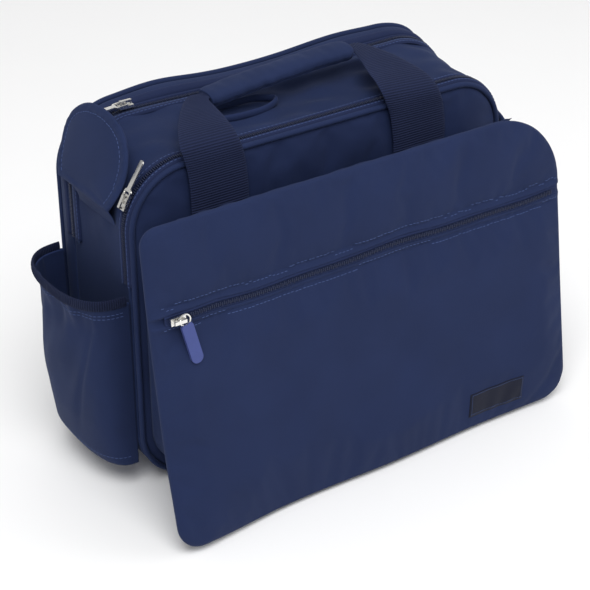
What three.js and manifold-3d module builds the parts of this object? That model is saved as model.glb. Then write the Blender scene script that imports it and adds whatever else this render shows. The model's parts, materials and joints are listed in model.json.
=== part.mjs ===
// Soft-sided diaper bag: a padded body with two zipped compartments, a front pocket under a hanging
// padded flap with its own zip, a bottle pocket with a cover flap at each end, and two carry handles.
//
// Millimetres, +Z up. The origin is the centre of the base, on the surface that the bag stands on;
// +X runs to the bag's right-hand end and +Y to its back, so the hanging flap faces -Y.

import * as THREE from 'three';
import { mergeVertices } from 'three/addons/utils/BufferGeometryUtils.js';
import Module from 'manifold-3d';

const wasm = await Module();
wasm.setup();

// ---------------------------------------------------------------- driving dimensions

const GAP = 0.3; // running gap between neighbouring pieces
const FAR = 400; // well beyond every part of the bag

const BAG = { width: 400, height: 310, rearRise: 12, front: -65, back: 65, corner: 55 };
const WALL = 6; // padded gusset
const GUSSET_FRONT = -56.3; // just behind the front panel
const PANEL = 8; // padded front and rear panels
const PIPING = 3.7; // radial thickness of the piping round a panel
const PIPING_PROUD = 1; // how far the piping stands out from its panel
const LID_BOTTOM = 204; // height where the rear panel starts to fold back
const LID_FRONT = 38; // the lid takes in the gusset behind this line
const BASE_BOARD = { half: 146, y0: -25.5, y1: 56, thickness: 3 };
const DIVIDER = { y0: -30, y1: -26 };
const SLIP_POCKET = { half: 130, depth: 11, bottom: 60, top: 190, wall: 3, backWall: 2 };

const ZIP = { tape: 1.2, coil: 1.5, coilWidth: 5, legEnd: 205 };
const FRONT_ZIP = { y: -56, tapeWidth: 13, sliderTurn: 62 };
const REAR_ZIP = { y: 35.2, tapeWidth: 13, sliderX: -144 };
const PULLER_DROOP = 4; // degrees that a top puller dips from its slider
const SLIDER = { halfLength: 7, halfWidth: 3.2, base: 2.5, pivot: 3.9, top: 6.9 };

const POCKET = { y0: -58, y1: 62, bottom: 25, rim: 190, top: 198, wall: 3, backWall: 2 };
const POCKET_DEPTHS = [[25, 28], [34, 33], [68, 38], [120, 41], [165, 41], [198, 47]]; // height, bulge

const COVER = { hingeX: 209.3, hingeZ: 272, length: 76, thickness: 5, openLean: 18, closedLean: 30 };
const COVER_WIDTH = { front: -49, back: 59, rootFront: -40, rootBack: 46, widestAt: 36 };
const SEAM_TAPE = { y0: -38, y1: 20, z0: 251, z1: 265, thickness: 1.5 };

const FRONT_POCKET = { half: 190, bottom: 14, top: 238, depthTop: 36, depthBottom: 70, wall: 4 };

const FLAP = { half: 219, height: 297, thickness: 14, tilt: 6.13, topY: -127, topZ: 298 };
const FLAP_CORNERS = [12, 75, 30, 24]; // top left, top right, bottom right, bottom left
const FLAP_ZIP = { drop: 85, half: 206, tapeWidth: 12, tape: 0.9, coilWidth: 4.8, coil: 1.4, pullLean: 12 };
const FLAP_LABEL = { x0: 96, x1: 159, z0: -283, z1: -257, thickness: 1 };
const PULL_RING = { radius: 5, wire: 0.8 };
const PULL_TAB = { half: 5.5, top: -3.6, bottom: -42, thickness: 3.2 };

const WEBBING = { inner: 77, outer: 135, thickness: 2.5, folded: 22 };
const FRONT_HANDLE_SHIFT = -8; // the front handle sits a little left of the middle
const GRIP = { half: 76, width: 30, height: 16, coreWidth: 22, coreHeight: 6 };
const FRONT_GRIP = { y: 0, z: 335 };
const REAR_GRIP = { y: 79, z: 236 };
const LOOP = { x0: -88.3, x1: -14, y0: -19, y1: 6, cord: 5, sag: 2.9, crown: 3.9 };
const LOOP_TAB = { x0: -104, x1: -88.6, y0: -22, y1: 8, thickness: 5.3 };

// ---------------------------------------------------------------- materials

const cloth = (color, roughness) => new THREE.MeshStandardMaterial({ color, roughness, metalness: 0 });
const metal = (color, roughness) => new THREE.MeshStandardMaterial({ color, roughness, metalness: 1 });

const NAVY = cloth(0x24335c, 0.75);
const LINING = cloth(0x8d93a3, 0.8);
const PIPING_NAVY = cloth(0x1e2b50, 0.65);
const WEBBING_NAVY = cloth(0x2b3559, 0.85);
const COIL_NAVY = cloth(0x1a2340, 0.45);
const LABEL_NAVY = cloth(0x141d3a, 0.4);
const RUBBER_BLUE = cloth(0x4b5796, 0.5);
const BOARD = cloth(0x3a3d44, 0.6);
const STEEL = metal(0xc9ccd0, 0.28);

// ---------------------------------------------------------------- solids and placing

const bag = new THREE.Group();

// A closed geometry as a solid that can be joined or cut.
function solid(geometry) {
  const bare = geometry.clone();
  bare.deleteAttribute('normal');
  bare.deleteAttribute('uv');
  const merged = mergeVertices(bare, 1e-4);
  return new wasm.Manifold(new wasm.Mesh({
    numProp: 3,
    vertProperties: new Float32Array(merged.attributes.position.array),
    triVerts: new Uint32Array(merged.index.array),
  }));
}

function surface(body) {
  const mesh = body.getMesh();
  const geometry = new THREE.BufferGeometry();
  geometry.setAttribute('position', new THREE.BufferAttribute(new Float32Array(mesh.vertProperties), 3));
  geometry.setIndex(new THREE.BufferAttribute(new Uint32Array(mesh.triVerts), 1));
  geometry.computeVertexNormals();
  return geometry;
}

function add(name, body, material, parent = bag) {
  const mesh = new THREE.Mesh(surface(body), material);
  mesh.name = name;
  parent.add(mesh);
  return mesh;
}

const X = new THREE.Vector3(1, 0, 0);
const Y = new THREE.Vector3(0, 1, 0);
const Z = new THREE.Vector3(0, 0, 1);

function extrude(shape, depth, basis, offset, segments = 9) {
  const geometry = new THREE.ExtrudeGeometry(shape, { depth, bevelEnabled: false, curveSegments: segments });
  geometry.applyMatrix4(new THREE.Matrix4().makeBasis(...basis));
  geometry.translate(offset.x, offset.y, offset.z);
  return solid(geometry);
}

// A shape drawn in (Y, Z), (X, Z) or (X, Y), extruded from one coordinate to the other.
const alongX = (shape, x0, x1, segments) =>
  extrude(shape, x1 - x0, [Y, Z, X], new THREE.Vector3(x0, 0, 0), segments);
const alongY = (shape, y0, y1, segments) =>
  extrude(shape, y1 - y0, [X, Z, Y.clone().negate()], new THREE.Vector3(0, y1, 0), segments);
const alongZ = (shape, z0, z1, segments) =>
  extrude(shape, z1 - z0, [X, Y, Z], new THREE.Vector3(0, 0, z0), segments);

function box(x0, x1, y0, y1, z0, z1) {
  const geometry = new THREE.BoxGeometry(x1 - x0, y1 - y0, z1 - z0);
  geometry.translate((x0 + x1) / 2, (y0 + y1) / 2, (z0 + z1) / 2);
  return solid(geometry);
}

function polygon(points) {
  return new THREE.Shape(points.map(([a, b]) => new THREE.Vector2(a, b)));
}

// A rounded rectangle; the radii go top left, top right, bottom right, bottom left.
function roundedRect(x0, x1, z0, z1, [tl, tr, br, bl]) {
  const shape = new THREE.Shape();
  shape.moveTo(x0 + bl, z0);
  shape.lineTo(x1 - br, z0);
  shape.absarc(x1 - br, z0 + br, br, -Math.PI / 2, 0, false);
  shape.lineTo(x1, z1 - tr);
  shape.absarc(x1 - tr, z1 - tr, tr, 0, Math.PI / 2, false);
  shape.lineTo(x0 + tl, z1);
  shape.absarc(x0 + tl, z1 - tl, tl, Math.PI / 2, Math.PI, false);
  shape.lineTo(x0, z0 + bl);
  shape.absarc(x0 + bl, z0 + bl, bl, Math.PI, Math.PI * 1.5, false);
  return shape;
}

// The bag's end-on outline, inset by a distance (negative grows it).
function outline(inset) {
  const half = BAG.width / 2 - inset;
  const r = BAG.corner - inset;
  return roundedRect(-half, half, inset, BAG.height - inset, [r, r, r, r]);
}

// The bag stands taller at the back: heights grow evenly from the front panel to the rear one.
function heightScale(y) {
  return 1 + (BAG.rearRise / BAG.height) * ((y - BAG.front) / (BAG.back - BAG.front));
}

function plate(inset, y0, y1) {
  const geometry = new THREE.ExtrudeGeometry(outline(inset), {
    depth: y1 - y0,
    bevelEnabled: false,
    curveSegments: 9,
  });
  geometry.applyMatrix4(new THREE.Matrix4().makeBasis(X, Z, Y.clone().negate()));
  geometry.translate(0, y1, 0);
  const position = geometry.attributes.position;
  for (let i = 0; i < position.count; i += 1) {
    position.setZ(i, position.getZ(i) * heightScale(position.getY(i)));
  }
  return solid(geometry);
}

const ring = (outer, inner, y0, y1) => plate(outer, y0, y1).subtract(plate(inner, y0 - 1, y1 + 1));
const above = (body, z) => body.intersect(box(-FAR, FAR, -FAR, FAR, z, FAR));
const below = (body, z) => body.intersect(box(-FAR, FAR, -FAR, FAR, -FAR, z));

// A strip of constant thickness along a path of (a, b) points.
function strip(path, thickness) {
  const points = path.map(([a, b]) => new THREE.Vector2(a, b));
  const left = [];
  const right = [];
  points.forEach((point, i) => {
    const before = points[Math.max(i - 1, 0)];
    const after = points[Math.min(i + 1, points.length - 1)];
    const along = after.clone().sub(before).normalize();
    const normal = new THREE.Vector2(-along.y, along.x).multiplyScalar(thickness / 2);
    left.push(point.clone().add(normal));
    right.unshift(point.clone().sub(normal));
  });
  return new THREE.Shape([...right, ...left]);
}

// ---------------------------------------------------------------- body shell and panels

function buildShell() {
  const rearPanelFront = BAG.back - PANEL;
  const tube = ring(0, WALL, GUSSET_FRONT, LID_FRONT);
  const lowerRear = below(ring(0, WALL, LID_FRONT - 1, rearPanelFront), LID_BOTTOM - GAP);
  add('gusset_shell', tube.add(lowerRear), NAVY);
  const { half, y0, y1, thickness } = BASE_BOARD;
  add('base_board', box(-half, half, y0, y1, WALL + GAP, WALL + GAP + thickness), BOARD);

  add('front_panel', plate(PIPING + GAP, BAG.front, BAG.front + PANEL), NAVY);
  add('front_piping', ring(0, PIPING, BAG.front - PIPING_PROUD, BAG.front + PANEL), PIPING_NAVY);

  const rearPlate = plate(PIPING + GAP, rearPanelFront + GAP, BAG.back);
  const rearRing = ring(0, PIPING, rearPanelFront + GAP, BAG.back + PIPING_PROUD);
  add('rear_lower_panel', below(rearPlate, LID_BOTTOM - GAP), NAVY);
  add('rear_lower_piping', below(rearRing, LID_BOTTOM - GAP), PIPING_NAVY);
  add('rear_lid_panel', above(rearPlate, LID_BOTTOM + GAP), NAVY);
  add('rear_lid_piping', above(rearRing, LID_BOTTOM + GAP), PIPING_NAVY);
  const lidGusset = ring(0, WALL, LID_FRONT + GAP, rearPanelFront);
  add('rear_lid_gusset', above(lidGusset, LID_BOTTOM + GAP), NAVY);
}

// The padded divider between the two compartments, with a slip pocket on its rear face.
function buildInterior() {
  add('divider_panel', plate(WALL + GAP, DIVIDER.y0, DIVIDER.y1), LINING);
  const { half, depth, bottom, top, wall, backWall } = SLIP_POCKET;
  const back = DIVIDER.y1 + GAP;
  const outer = box(-half, half, back, back + depth, bottom, top);
  const inner = box(-half + wall, half - wall, back + backWall, back + depth - backWall,
    bottom + wall, top + 1);
  add('inner_slip_pocket', outer.subtract(inner), LINING);
}

// ---------------------------------------------------------------- top zips

function zipTape(y0, y1) {
  return above(ring(-GAP - ZIP.tape, -GAP, y0, y1), ZIP.legEnd);
}

function zipCoil(y, halfWidth) {
  const base = 2 * GAP + ZIP.tape;
  return above(ring(-base - ZIP.coil, -base, y - halfWidth, y + halfWidth), ZIP.legEnd);
}

// A slider body with a bridge on top; the puller's end bar or ring turns under the bridge.
function sliderBody() {
  const { halfLength, halfWidth, base, top } = SLIDER;
  const bridge = { end: 5.6, half: 1.5, thickness: 1.3, post: 1.6 };
  const post = box(bridge.end - bridge.post, bridge.end, -bridge.half, bridge.half, base - 0.5, top);
  const span = box(-bridge.end, bridge.end, -bridge.half, bridge.half, top - bridge.thickness, top);
  const body = box(-halfLength, halfLength, -halfWidth, halfWidth, 0, base);
  return body.add(post).add(post.mirror([1, 0, 0])).add(span);
}

// A slender puller that points along +X from its pivot bar.
function topPuller() {
  const halfThick = 0.7;
  const frame = roundedRect(-halfThick, 12, -4.8, 4.8, [0.6, 3, 3, 0.6]);
  const blade = roundedRect(10, 38, -2.5, 2.5, [1, 2.4, 2.4, 1]);
  const window = roundedRect(halfThick, 9.5, -3.7, 3.7, [0.5, 2, 2, 0.5]);
  const body = alongZ(frame, -halfThick, halfThick, 4).add(alongZ(blade, -halfThick, halfThick, 4));
  return body.subtract(alongZ(window, -2, 2, 4));
}

// Turned about +Y: a negative turn leans the slider's top toward -X, as it stands on the left corner.
// Facing is the way that the puller points along the zip.
function topSlider(name, [x, y, z], turn, facing) {
  const slider = new THREE.Group();
  slider.position.set(x, y, z);
  slider.rotation.y = THREE.MathUtils.degToRad(turn);
  bag.add(slider);
  add(`${name}_zip_slider`, sliderBody(), STEEL, slider);
  const puller = add(`${name}_zip_puller`, topPuller(), STEEL, slider);
  puller.position.z = SLIDER.pivot;
  puller.rotation.set(0, THREE.MathUtils.degToRad(PULLER_DROOP), facing > 0 ? 0 : Math.PI, 'ZYX');
}

function buildTopZips() {
  const rise = 2 * GAP + ZIP.tape + ZIP.coil;
  const half = FRONT_ZIP.tapeWidth / 2;
  add('front_zip_tape', zipTape(FRONT_ZIP.y - half + 1, FRONT_ZIP.y + half), NAVY);
  add('front_zip_coil', zipCoil(FRONT_ZIP.y, ZIP.coilWidth / 2), COIL_NAVY);
  const scale = heightScale(FRONT_ZIP.y + SLIDER.halfWidth);
  const seat = (BAG.corner + rise) * scale + GAP;
  const turn = THREE.MathUtils.degToRad(FRONT_ZIP.sliderTurn);
  const cornerX = BAG.width / 2 - BAG.corner;
  const cornerZ = (BAG.height - BAG.corner) * scale;
  const onCorner = [-cornerX - seat * Math.sin(turn), FRONT_ZIP.y, cornerZ + seat * Math.cos(turn)];
  topSlider('front', onCorner, -FRONT_ZIP.sliderTurn, 1);

  add('rear_zip_tape', zipTape(REAR_ZIP.y - REAR_ZIP.tapeWidth, LID_FRONT), NAVY);
  add('rear_zip_coil', zipCoil(REAR_ZIP.y, ZIP.coilWidth / 2), COIL_NAVY);
  const crest = (BAG.height + rise) * heightScale(REAR_ZIP.y + SLIDER.halfWidth);
  topSlider('rear', [REAR_ZIP.sliderX, REAR_ZIP.y, crest + GAP], 0, -1);

  const lidTapeWidth = 10;
  add('rear_lid_zip_tape', zipTape(LID_FRONT + GAP, LID_FRONT + GAP + lidTapeWidth), NAVY);
}

// ---------------------------------------------------------------- end pockets and their covers

// A closed solid through a stack of convex plan outlines with equal point counts.
function stack(sections) {
  const count = sections[0].points.length;
  const positions = sections.flatMap(({ z, points }) => points.flatMap(([x, y]) => [x, y, z]));
  const index = [];
  for (let s = 0; s + 1 < sections.length; s += 1) {
    for (let i = 0; i < count; i += 1) {
      const a = s * count + i;
      const b = s * count + ((i + 1) % count);
      index.push(a, b, b + count, a, b + count, a + count);
    }
  }
  const top = (sections.length - 1) * count;
  for (let i = 1; i + 1 < count; i += 1) {
    index.push(0, i + 1, i);
    index.push(top, top + i, top + i + 1);
  }
  const geometry = new THREE.BufferGeometry();
  geometry.setAttribute('position', new THREE.Float32BufferAttribute(positions, 3));
  geometry.setIndex(index);
  return solid(geometry);
}

// Bulging D-shaped plan of an end pocket, its flat side against the gusset.
function pocketPlan(side, depth, inset, back) {
  const steps = 14;
  const middle = (POCKET.y0 + POCKET.y1) / 2;
  const half = (POCKET.y1 - POCKET.y0) / 2 - inset;
  const x0 = BAG.width / 2 + GAP + back;
  const reach = depth - inset - back;
  const points = [];
  for (let i = 0; i <= steps; i += 1) {
    const angle = -Math.PI / 2 + (Math.PI * i) / steps;
    const across = Math.max(Math.cos(angle), 0) ** 0.7;
    const along = Math.sign(Math.sin(angle)) * Math.abs(Math.sin(angle)) ** 0.7;
    points.push([side * (x0 + reach * across), middle + half * along]);
  }
  return side > 0 ? points : points.reverse();
}

function pocketDepth(z) {
  const i = Math.max(POCKET_DEPTHS.findIndex(([height]) => height >= z), 1);
  const [z0, d0] = POCKET_DEPTHS[i - 1];
  const [z1, d1] = POCKET_DEPTHS[i];
  return d0 + ((d1 - d0) * (z - z0)) / (z1 - z0);
}

function pocketSolid(side, heights, inset, back) {
  return stack(heights.map((z) => ({
    z,
    points: pocketPlan(side, pocketDepth(Math.min(z, POCKET.top)), inset, back),
  })));
}

function buildEndPocket(name, side) {
  const { bottom, rim, top, wall, backWall } = POCKET;
  const heights = POCKET_DEPTHS.map(([height]) => height).filter((height) => height > bottom && height < rim);
  const outer = pocketSolid(side, [bottom, ...heights, rim], 0, 0);
  const inner = pocketSolid(side, [bottom + wall, ...heights.slice(1), rim + 1], wall, backWall);
  add(`${name}_pocket`, outer.subtract(inner), NAVY);
  const band = pocketSolid(side, [rim + GAP, top], 0, 0);
  const mouth = pocketSolid(side, [rim - 1, top + 1], wall, backWall);
  add(`${name}_pocket_binding`, band.subtract(mouth), WEBBING_NAVY);
  const near = side * (BAG.width / 2 + GAP);
  const far = near + side * SEAM_TAPE.thickness;
  const { y0, y1, z0, z1 } = SEAM_TAPE;
  add(`${name}_cover_seam_tape`, box(Math.min(near, far), Math.max(near, far), y0, y1, z0, z1), WEBBING_NAVY);
}

// Tongue-shaped cover flap, drawn with its root on the first axis.
function coverShape() {
  const { length } = COVER;
  const { front, back, rootFront, rootBack, widestAt } = COVER_WIDTH;
  const middle = (front + back) / 2;
  const shape = new THREE.Shape();
  shape.moveTo(rootFront, 0);
  shape.lineTo(rootBack, 0);
  shape.bezierCurveTo(rootBack + 5, widestAt * 0.2, back, widestAt * 0.5, back, widestAt);
  shape.bezierCurveTo(back, length * 0.78, middle + 34, length, middle, length);
  shape.bezierCurveTo(middle - 34, length, front, length * 0.78, front, widestAt);
  shape.bezierCurveTo(front, widestAt * 0.5, rootFront - 5, widestAt * 0.2, rootFront, 0);
  return shape;
}

// Lean is measured from straight up toward +X.
function buildCover(name, side, lean) {
  const angle = THREE.MathUtils.degToRad(lean);
  const up = new THREE.Vector3(Math.sin(angle), 0, Math.cos(angle));
  const normal = new THREE.Vector3().crossVectors(Y, up);
  const root = new THREE.Vector3(side * COVER.hingeX, 0, COVER.hingeZ);
  add(`${name}_pocket_cover`, extrude(coverShape(), COVER.thickness, [Y, up, normal], root, 7), NAVY);
}

// ---------------------------------------------------------------- front pocket and the flap's root

function buildFrontPocket() {
  const { half, bottom, top, depthTop, depthBottom, wall } = FRONT_POCKET;
  const y0 = BAG.front - 1 - GAP;
  const profile = (inset, floor, lip) => alongX(polygon([
    [y0 - inset, floor],
    [y0 - inset, lip],
    [y0 - depthTop + inset, lip],
    [y0 - depthBottom + inset, floor],
  ].reverse()), -half - 20, half + 20);
  const face = (inset, lip) => alongY(
    roundedRect(-half + inset, half - inset, bottom + inset, lip, [2, 2, 45 - inset, 45 - inset]),
    y0 - 90, y0 + 5);
  const outer = profile(0, bottom, top).intersect(face(0, top));
  const inner = profile(wall, bottom - 5, top + 30).intersect(face(wall, top + 30));
  add('front_pocket', outer.subtract(inner), NAVY);

  const rim = face(-3.6, top).subtract(face(-GAP, top + 30));
  const slope = (depthBottom - depthTop) / (top - bottom);
  const frontAt = (z) => y0 - depthBottom + slope * (z - bottom);
  const slab = alongX(polygon([
    [frontAt(0) - 1, 0],
    [frontAt(0) + 5, 0],
    [frontAt(top) + 5, top],
    [frontAt(top) - 1, top],
  ]), -half - 20, half + 20);
  add('front_pocket_piping', rim.intersect(slab), PIPING_NAVY);

  const root = polygon([[y0, 243], [y0, 247.5], [-110.5, 294.3], [-113.4, 291.3]].reverse());
  add('flap_root_panel', alongX(root, -196, 196), NAVY);
}

// ---------------------------------------------------------------- hanging front flap

// Drawn flat in its own frame: X across, Z up the flap from its top edge, front face at -Y.
function buildFlap() {
  const flap = new THREE.Group();
  const tilt = THREE.MathUtils.degToRad(-FLAP.tilt);
  flap.rotation.x = tilt;
  const back = new THREE.Vector2(FLAP.thickness, 0).rotateAround(new THREE.Vector2(), tilt);
  flap.position.set(0, FLAP.topY + back.x, FLAP.topZ + back.y);
  bag.add(flap);

  const { half, height, thickness } = FLAP;
  add('front_flap', alongY(roundedRect(-half, half, -height, 0, FLAP_CORNERS), -thickness, 0), NAVY, flap);

  const front = -thickness - GAP;
  const zipZ = -FLAP_ZIP.drop;
  const onZip = (name, halfLength, y0, y1, width, material) =>
    add(name, box(-halfLength, halfLength, y0, y1, zipZ - width / 2, zipZ + width / 2), material, flap);
  onZip('flap_zip_tape', half - 5, front - FLAP_ZIP.tape, front, FLAP_ZIP.tapeWidth, NAVY);
  const coilBack = front - FLAP_ZIP.tape - GAP;
  const coilFront = coilBack - FLAP_ZIP.coil;
  onZip('flap_zip_coil', half - 7, coilFront, coilBack, FLAP_ZIP.coilWidth, COIL_NAVY);
  const { x0, x1, z0, z1 } = FLAP_LABEL;
  add('flap_label', box(x0, x1, front - FLAP_LABEL.thickness, front, z0, z1), LABEL_NAVY, flap);

  const slider = new THREE.Group();
  slider.rotation.x = Math.PI / 2;
  slider.position.set(-FLAP_ZIP.half + 4, coilFront - GAP, zipZ);
  flap.add(slider);
  add('flap_zip_slider', sliderBody(), STEEL, slider);

  // The ring passes under the slider's bridge and round its end post; the tab is moulded on the ring.
  const pull = new THREE.Group();
  pull.position.set(4.8, 0, 4.4);
  pull.rotation.z = THREE.MathUtils.degToRad(FLAP_ZIP.pullLean);
  slider.add(pull);
  const { radius, wire } = PULL_RING;
  add('flap_pull_ring', solid(new THREE.TorusGeometry(radius, wire, 8, 24)), STEEL, pull);
  const { half: tabHalf, top, bottom, thickness: tabThickness } = PULL_TAB;
  const tabShape = roundedRect(-tabHalf, tabHalf, bottom, top, [3, 3, 5.4, 5.4]);
  const tab = alongZ(tabShape, -tabThickness / 2, tabThickness / 2, 5);
  const tunnel = solid(new THREE.TorusGeometry(radius, wire + GAP, 8, 24));
  const clear = solid(new THREE.CylinderGeometry(radius - wire, radius - wire, 6, 20).rotateX(Math.PI / 2));
  add('flap_pull_tab', tab.subtract(tunnel).subtract(clear), RUBBER_BLUE, pull);
}

// ---------------------------------------------------------------- handles and hanging loop

const STRAP_SIDES = [['left', -1], ['right', 1]];

// One strap's edges across the bag, the left one first.
function strapEdges(side, shift) {
  const edges = [side * WEBBING.inner + shift, side * WEBBING.outer + shift];
  return [Math.min(...edges), Math.max(...edges)];
}

function strapBases(name, shift, y0, y1, z0, z1) {
  for (const [label, side] of STRAP_SIDES) {
    const [x0, x1] = strapEdges(side, shift);
    add(`${name}_strap_base_${label}`, box(x0, x1, y0, y1, z0, z1), WEBBING_NAVY);
  }
}

// Straps narrow from full width at the bag to the folded width where they join the grip. The taper
// runs over a span of the axis that leads to the grip: Y for a handle laid back, Z for one that hangs.
function straps(name, path, shift, [start, narrowing, end], alongTaper) {
  const gripEnd = GRIP.half + 1;
  for (const [label, side] of STRAP_SIDES) {
    const full = alongX(strip(path, WEBBING.thickness), ...strapEdges(side, shift));
    const taper = [
      [WEBBING.inner, start],
      [WEBBING.outer, start],
      [WEBBING.outer, narrowing],
      [gripEnd + WEBBING.folded, end],
      [gripEnd, end],
      [WEBBING.inner, narrowing],
    ].map(([a, b]) => [side * a + shift, b]);
    add(`${name}_strap_${label}`, full.intersect(alongTaper(polygon(taper), -FAR, FAR)), WEBBING_NAVY);
  }
}

// The padded wrap round a flat webbing core, both running along X.
function grip(name, { y, z }, shift, [coreY, coreZ], [wrapY, wrapZ]) {
  const reach = GRIP.half + 1 + WEBBING.folded;
  const core = (clear, x) => box(shift - x, shift + x, y - coreY / 2 - clear, y + coreY / 2 + clear,
    z - coreZ / 2 - clear, z + coreZ / 2 + clear);
  add(`${name}_grip_core`, core(0, reach), WEBBING_NAVY);
  const oval = new THREE.Shape();
  oval.absellipse(y, z, wrapY / 2, wrapZ / 2, 0, Math.PI * 2, false);
  const wrap = alongX(oval, shift - GRIP.half, shift + GRIP.half, 10);
  add(`${name}_grip_wrap`, wrap.subtract(core(GAP, FAR)), NAVY);
}

function buildHandles() {
  const { width, height, coreWidth, coreHeight } = GRIP;
  const gripEdge = FRONT_GRIP.y - coreWidth / 2;
  const overTheTop = [[-64, 327], [-52, 333], [-32, 335.4], [gripEdge - GAP, FRONT_GRIP.z]];
  const frontPath = [[-68.6, 309], [-68.6, 318], ...overTheTop];
  strapBases('front', FRONT_HANDLE_SHIFT, -68.8, -66.3, 262, 306);
  straps('front', frontPath, FRONT_HANDLE_SHIFT, [-80, -50, gripEdge], alongZ);
  grip('front', FRONT_GRIP, FRONT_HANDLE_SHIFT, [coreWidth, coreHeight], [width, height]);

  const gripTop = REAR_GRIP.z + coreWidth / 2;
  const rearPath = [[70.6, 319], [74.6, 312], [77, 292], [78.6, 267], [REAR_GRIP.y, gripTop + GAP]];
  strapBases('rear', 0, 66.3, 68.8, 274, 318);
  straps('rear', rearPath, 0, [332, 297, gripTop], alongY);
  grip('rear', REAR_GRIP, 0, [coreHeight, coreWidth], [height, width]);
}

function buildLoop() {
  const seat = BAG.height * heightScale(LOOP_TAB.y1) + GAP;
  const { x0, x1, y0, y1, cord, sag, crown } = LOOP;
  const tab = box(LOOP_TAB.x0, LOOP_TAB.x1, LOOP_TAB.y0, LOOP_TAB.y1, seat, seat + LOOP_TAB.thickness);
  add('loop_anchor_tab', tab, WEBBING_NAVY);
  const middle = (y0 + y1) / 2;
  const shoulder = x0 + (x1 - x0) * 0.35;
  const bend = x0 + (x1 - x0) * 0.78;
  const path = new THREE.CatmullRomCurve3([
    [x0, y0 + 2, sag],
    [shoulder, y0, (sag + crown) / 2],
    [bend, y0 + 2, crown],
    [x1, middle, crown],
    [bend, y1, crown],
    [shoulder, y1, (sag + crown) / 2],
    [x0, y1 - 3, sag],
  ].map(([x, y, z]) => new THREE.Vector3(x, y, seat + z)));
  const section = new THREE.Shape();
  section.absarc(0, 0, cord / 2, 0, Math.PI * 2, false);
  const tube = new THREE.ExtrudeGeometry(section, { steps: 30, extrudePath: path, curveSegments: 4 });
  add('hanging_loop', solid(tube), NAVY);
}

// ---------------------------------------------------------------- whole bag

buildShell();
buildInterior();
buildTopZips();
buildEndPocket('left', -1);
buildEndPocket('right', 1);
buildCover('left', -1, COVER.openLean);
buildCover('right', 1, 180 - COVER.closedLean);
buildFrontPocket();
buildFlap();
buildHandles();
buildLoop();

export default bag;
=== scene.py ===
"""Looks of a soft diaper bag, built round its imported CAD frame: +Z up, -Y to the front.

Shapes are worked out in millimetres in the frame's own axes and stored in metres.
"""

import json
import math

import bmesh
import bpy
import numpy as np
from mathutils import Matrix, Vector
from mathutils.bvhtree import BVHTree


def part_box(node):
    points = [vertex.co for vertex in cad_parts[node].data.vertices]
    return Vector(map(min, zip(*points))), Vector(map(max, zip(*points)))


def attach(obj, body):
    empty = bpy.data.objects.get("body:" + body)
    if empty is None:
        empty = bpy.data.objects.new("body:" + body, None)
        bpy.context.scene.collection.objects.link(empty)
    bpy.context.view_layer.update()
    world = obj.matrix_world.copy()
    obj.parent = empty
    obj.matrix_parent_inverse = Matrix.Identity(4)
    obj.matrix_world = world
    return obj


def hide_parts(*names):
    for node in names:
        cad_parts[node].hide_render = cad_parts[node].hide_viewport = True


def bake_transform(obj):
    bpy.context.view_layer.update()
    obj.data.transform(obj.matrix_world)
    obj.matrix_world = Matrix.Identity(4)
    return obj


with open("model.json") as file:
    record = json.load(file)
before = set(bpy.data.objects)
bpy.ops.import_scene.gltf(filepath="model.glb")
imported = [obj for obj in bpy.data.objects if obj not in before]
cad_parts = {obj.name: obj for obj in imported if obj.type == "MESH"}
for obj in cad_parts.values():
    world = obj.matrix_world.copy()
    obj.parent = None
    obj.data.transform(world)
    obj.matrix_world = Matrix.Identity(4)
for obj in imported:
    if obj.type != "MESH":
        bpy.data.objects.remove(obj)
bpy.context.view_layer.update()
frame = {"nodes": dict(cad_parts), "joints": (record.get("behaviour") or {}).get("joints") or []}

MM = 0.001

# ---------------------------------------------------------------- driving dimensions, millimetres

HALF, HEIGHT, CORNER = 200.0, 310.0, 55.0
FRONT, BACK, REAR_RISE = -65.0, 65.0, 12.0
GUSSET_FRONT, GUSSET_BACK = -57.0, 38.0
WALL = 5.0
ZIP_LEG_END = 205.0
COIL_TOP = 3.3  # height of a top zip above the gusset
FRONT_ZIP_Y, REAR_ZIP_Y = -56.0, 35.2
FRONT_TAPE, REAR_TAPE, LID_TAPE = (-62.2, -48.4), (24.0, 41.5), (42.0, 49.6)  # edges in depth
PANEL_Y, PANEL_INSET = 61.5, 4.0  # front and rear panels' mid depth, and their gap to the outline
PIPING_RADIUS = 2.5

FLAP_LEFT, FLAP_RIGHT, FLAP_LENGTH, FLAP_TILT = -225.0, 218.0, 297.0, 6.13
FLAP_RADII = (16.0, 75.0, 30.0, 24.0)  # top left, top right, bottom right, bottom left
FLAP_ZIP = -85.0
FLAP_BOX = (FLAP_LEFT, FLAP_RIGHT, -FLAP_LENGTH, -4.0)  # the top edge sags below the fold line

POCKET_FRONT, POCKET_BACK, POCKET_RIM = -58.0, 62.0, 190.0
POCKET_DEPTHS = ((25, 28), (34, 33), (68, 38), (120, 41), (165, 41), (198, 47))  # height, bulge
COVER_HINGE = (209.3, 272.0)
COVER_LENGTH = 76.0
COVER_FRONT, COVER_BACK, COVER_ROOT_FRONT, COVER_ROOT_BACK, COVER_WIDEST = -49.0, 59.0, -40.0, 46.0, 36.0
COVER_MIDDLE = (COVER_FRONT + COVER_BACK) / 2

CARRIER_HALF, CARRIER_BOTTOM, CARRIER_TOP = 190.0, 14.0, 238.0  # the pocket under the flap
CARRIER_BACK, CARRIER_DEPTH_TOP, CARRIER_DEPTH_BOTTOM = -66.3, 36.0, 70.0

GRIP_HALF = 76.0
FRONT_GRIP_Y, FRONT_GRIP_Z = 0.0, 335.0
REAR_GRIP_Y, REAR_GRIP_Z = 79.0, 236.0
FRONT_SHIFT = -8.0  # the front handle sits a little left of the middle


# ---------------------------------------------------------------- numbers and grids

def smooth(t):
    t = np.clip(t, 0, 1)
    return t * t * (3 - 2 * t)


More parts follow.
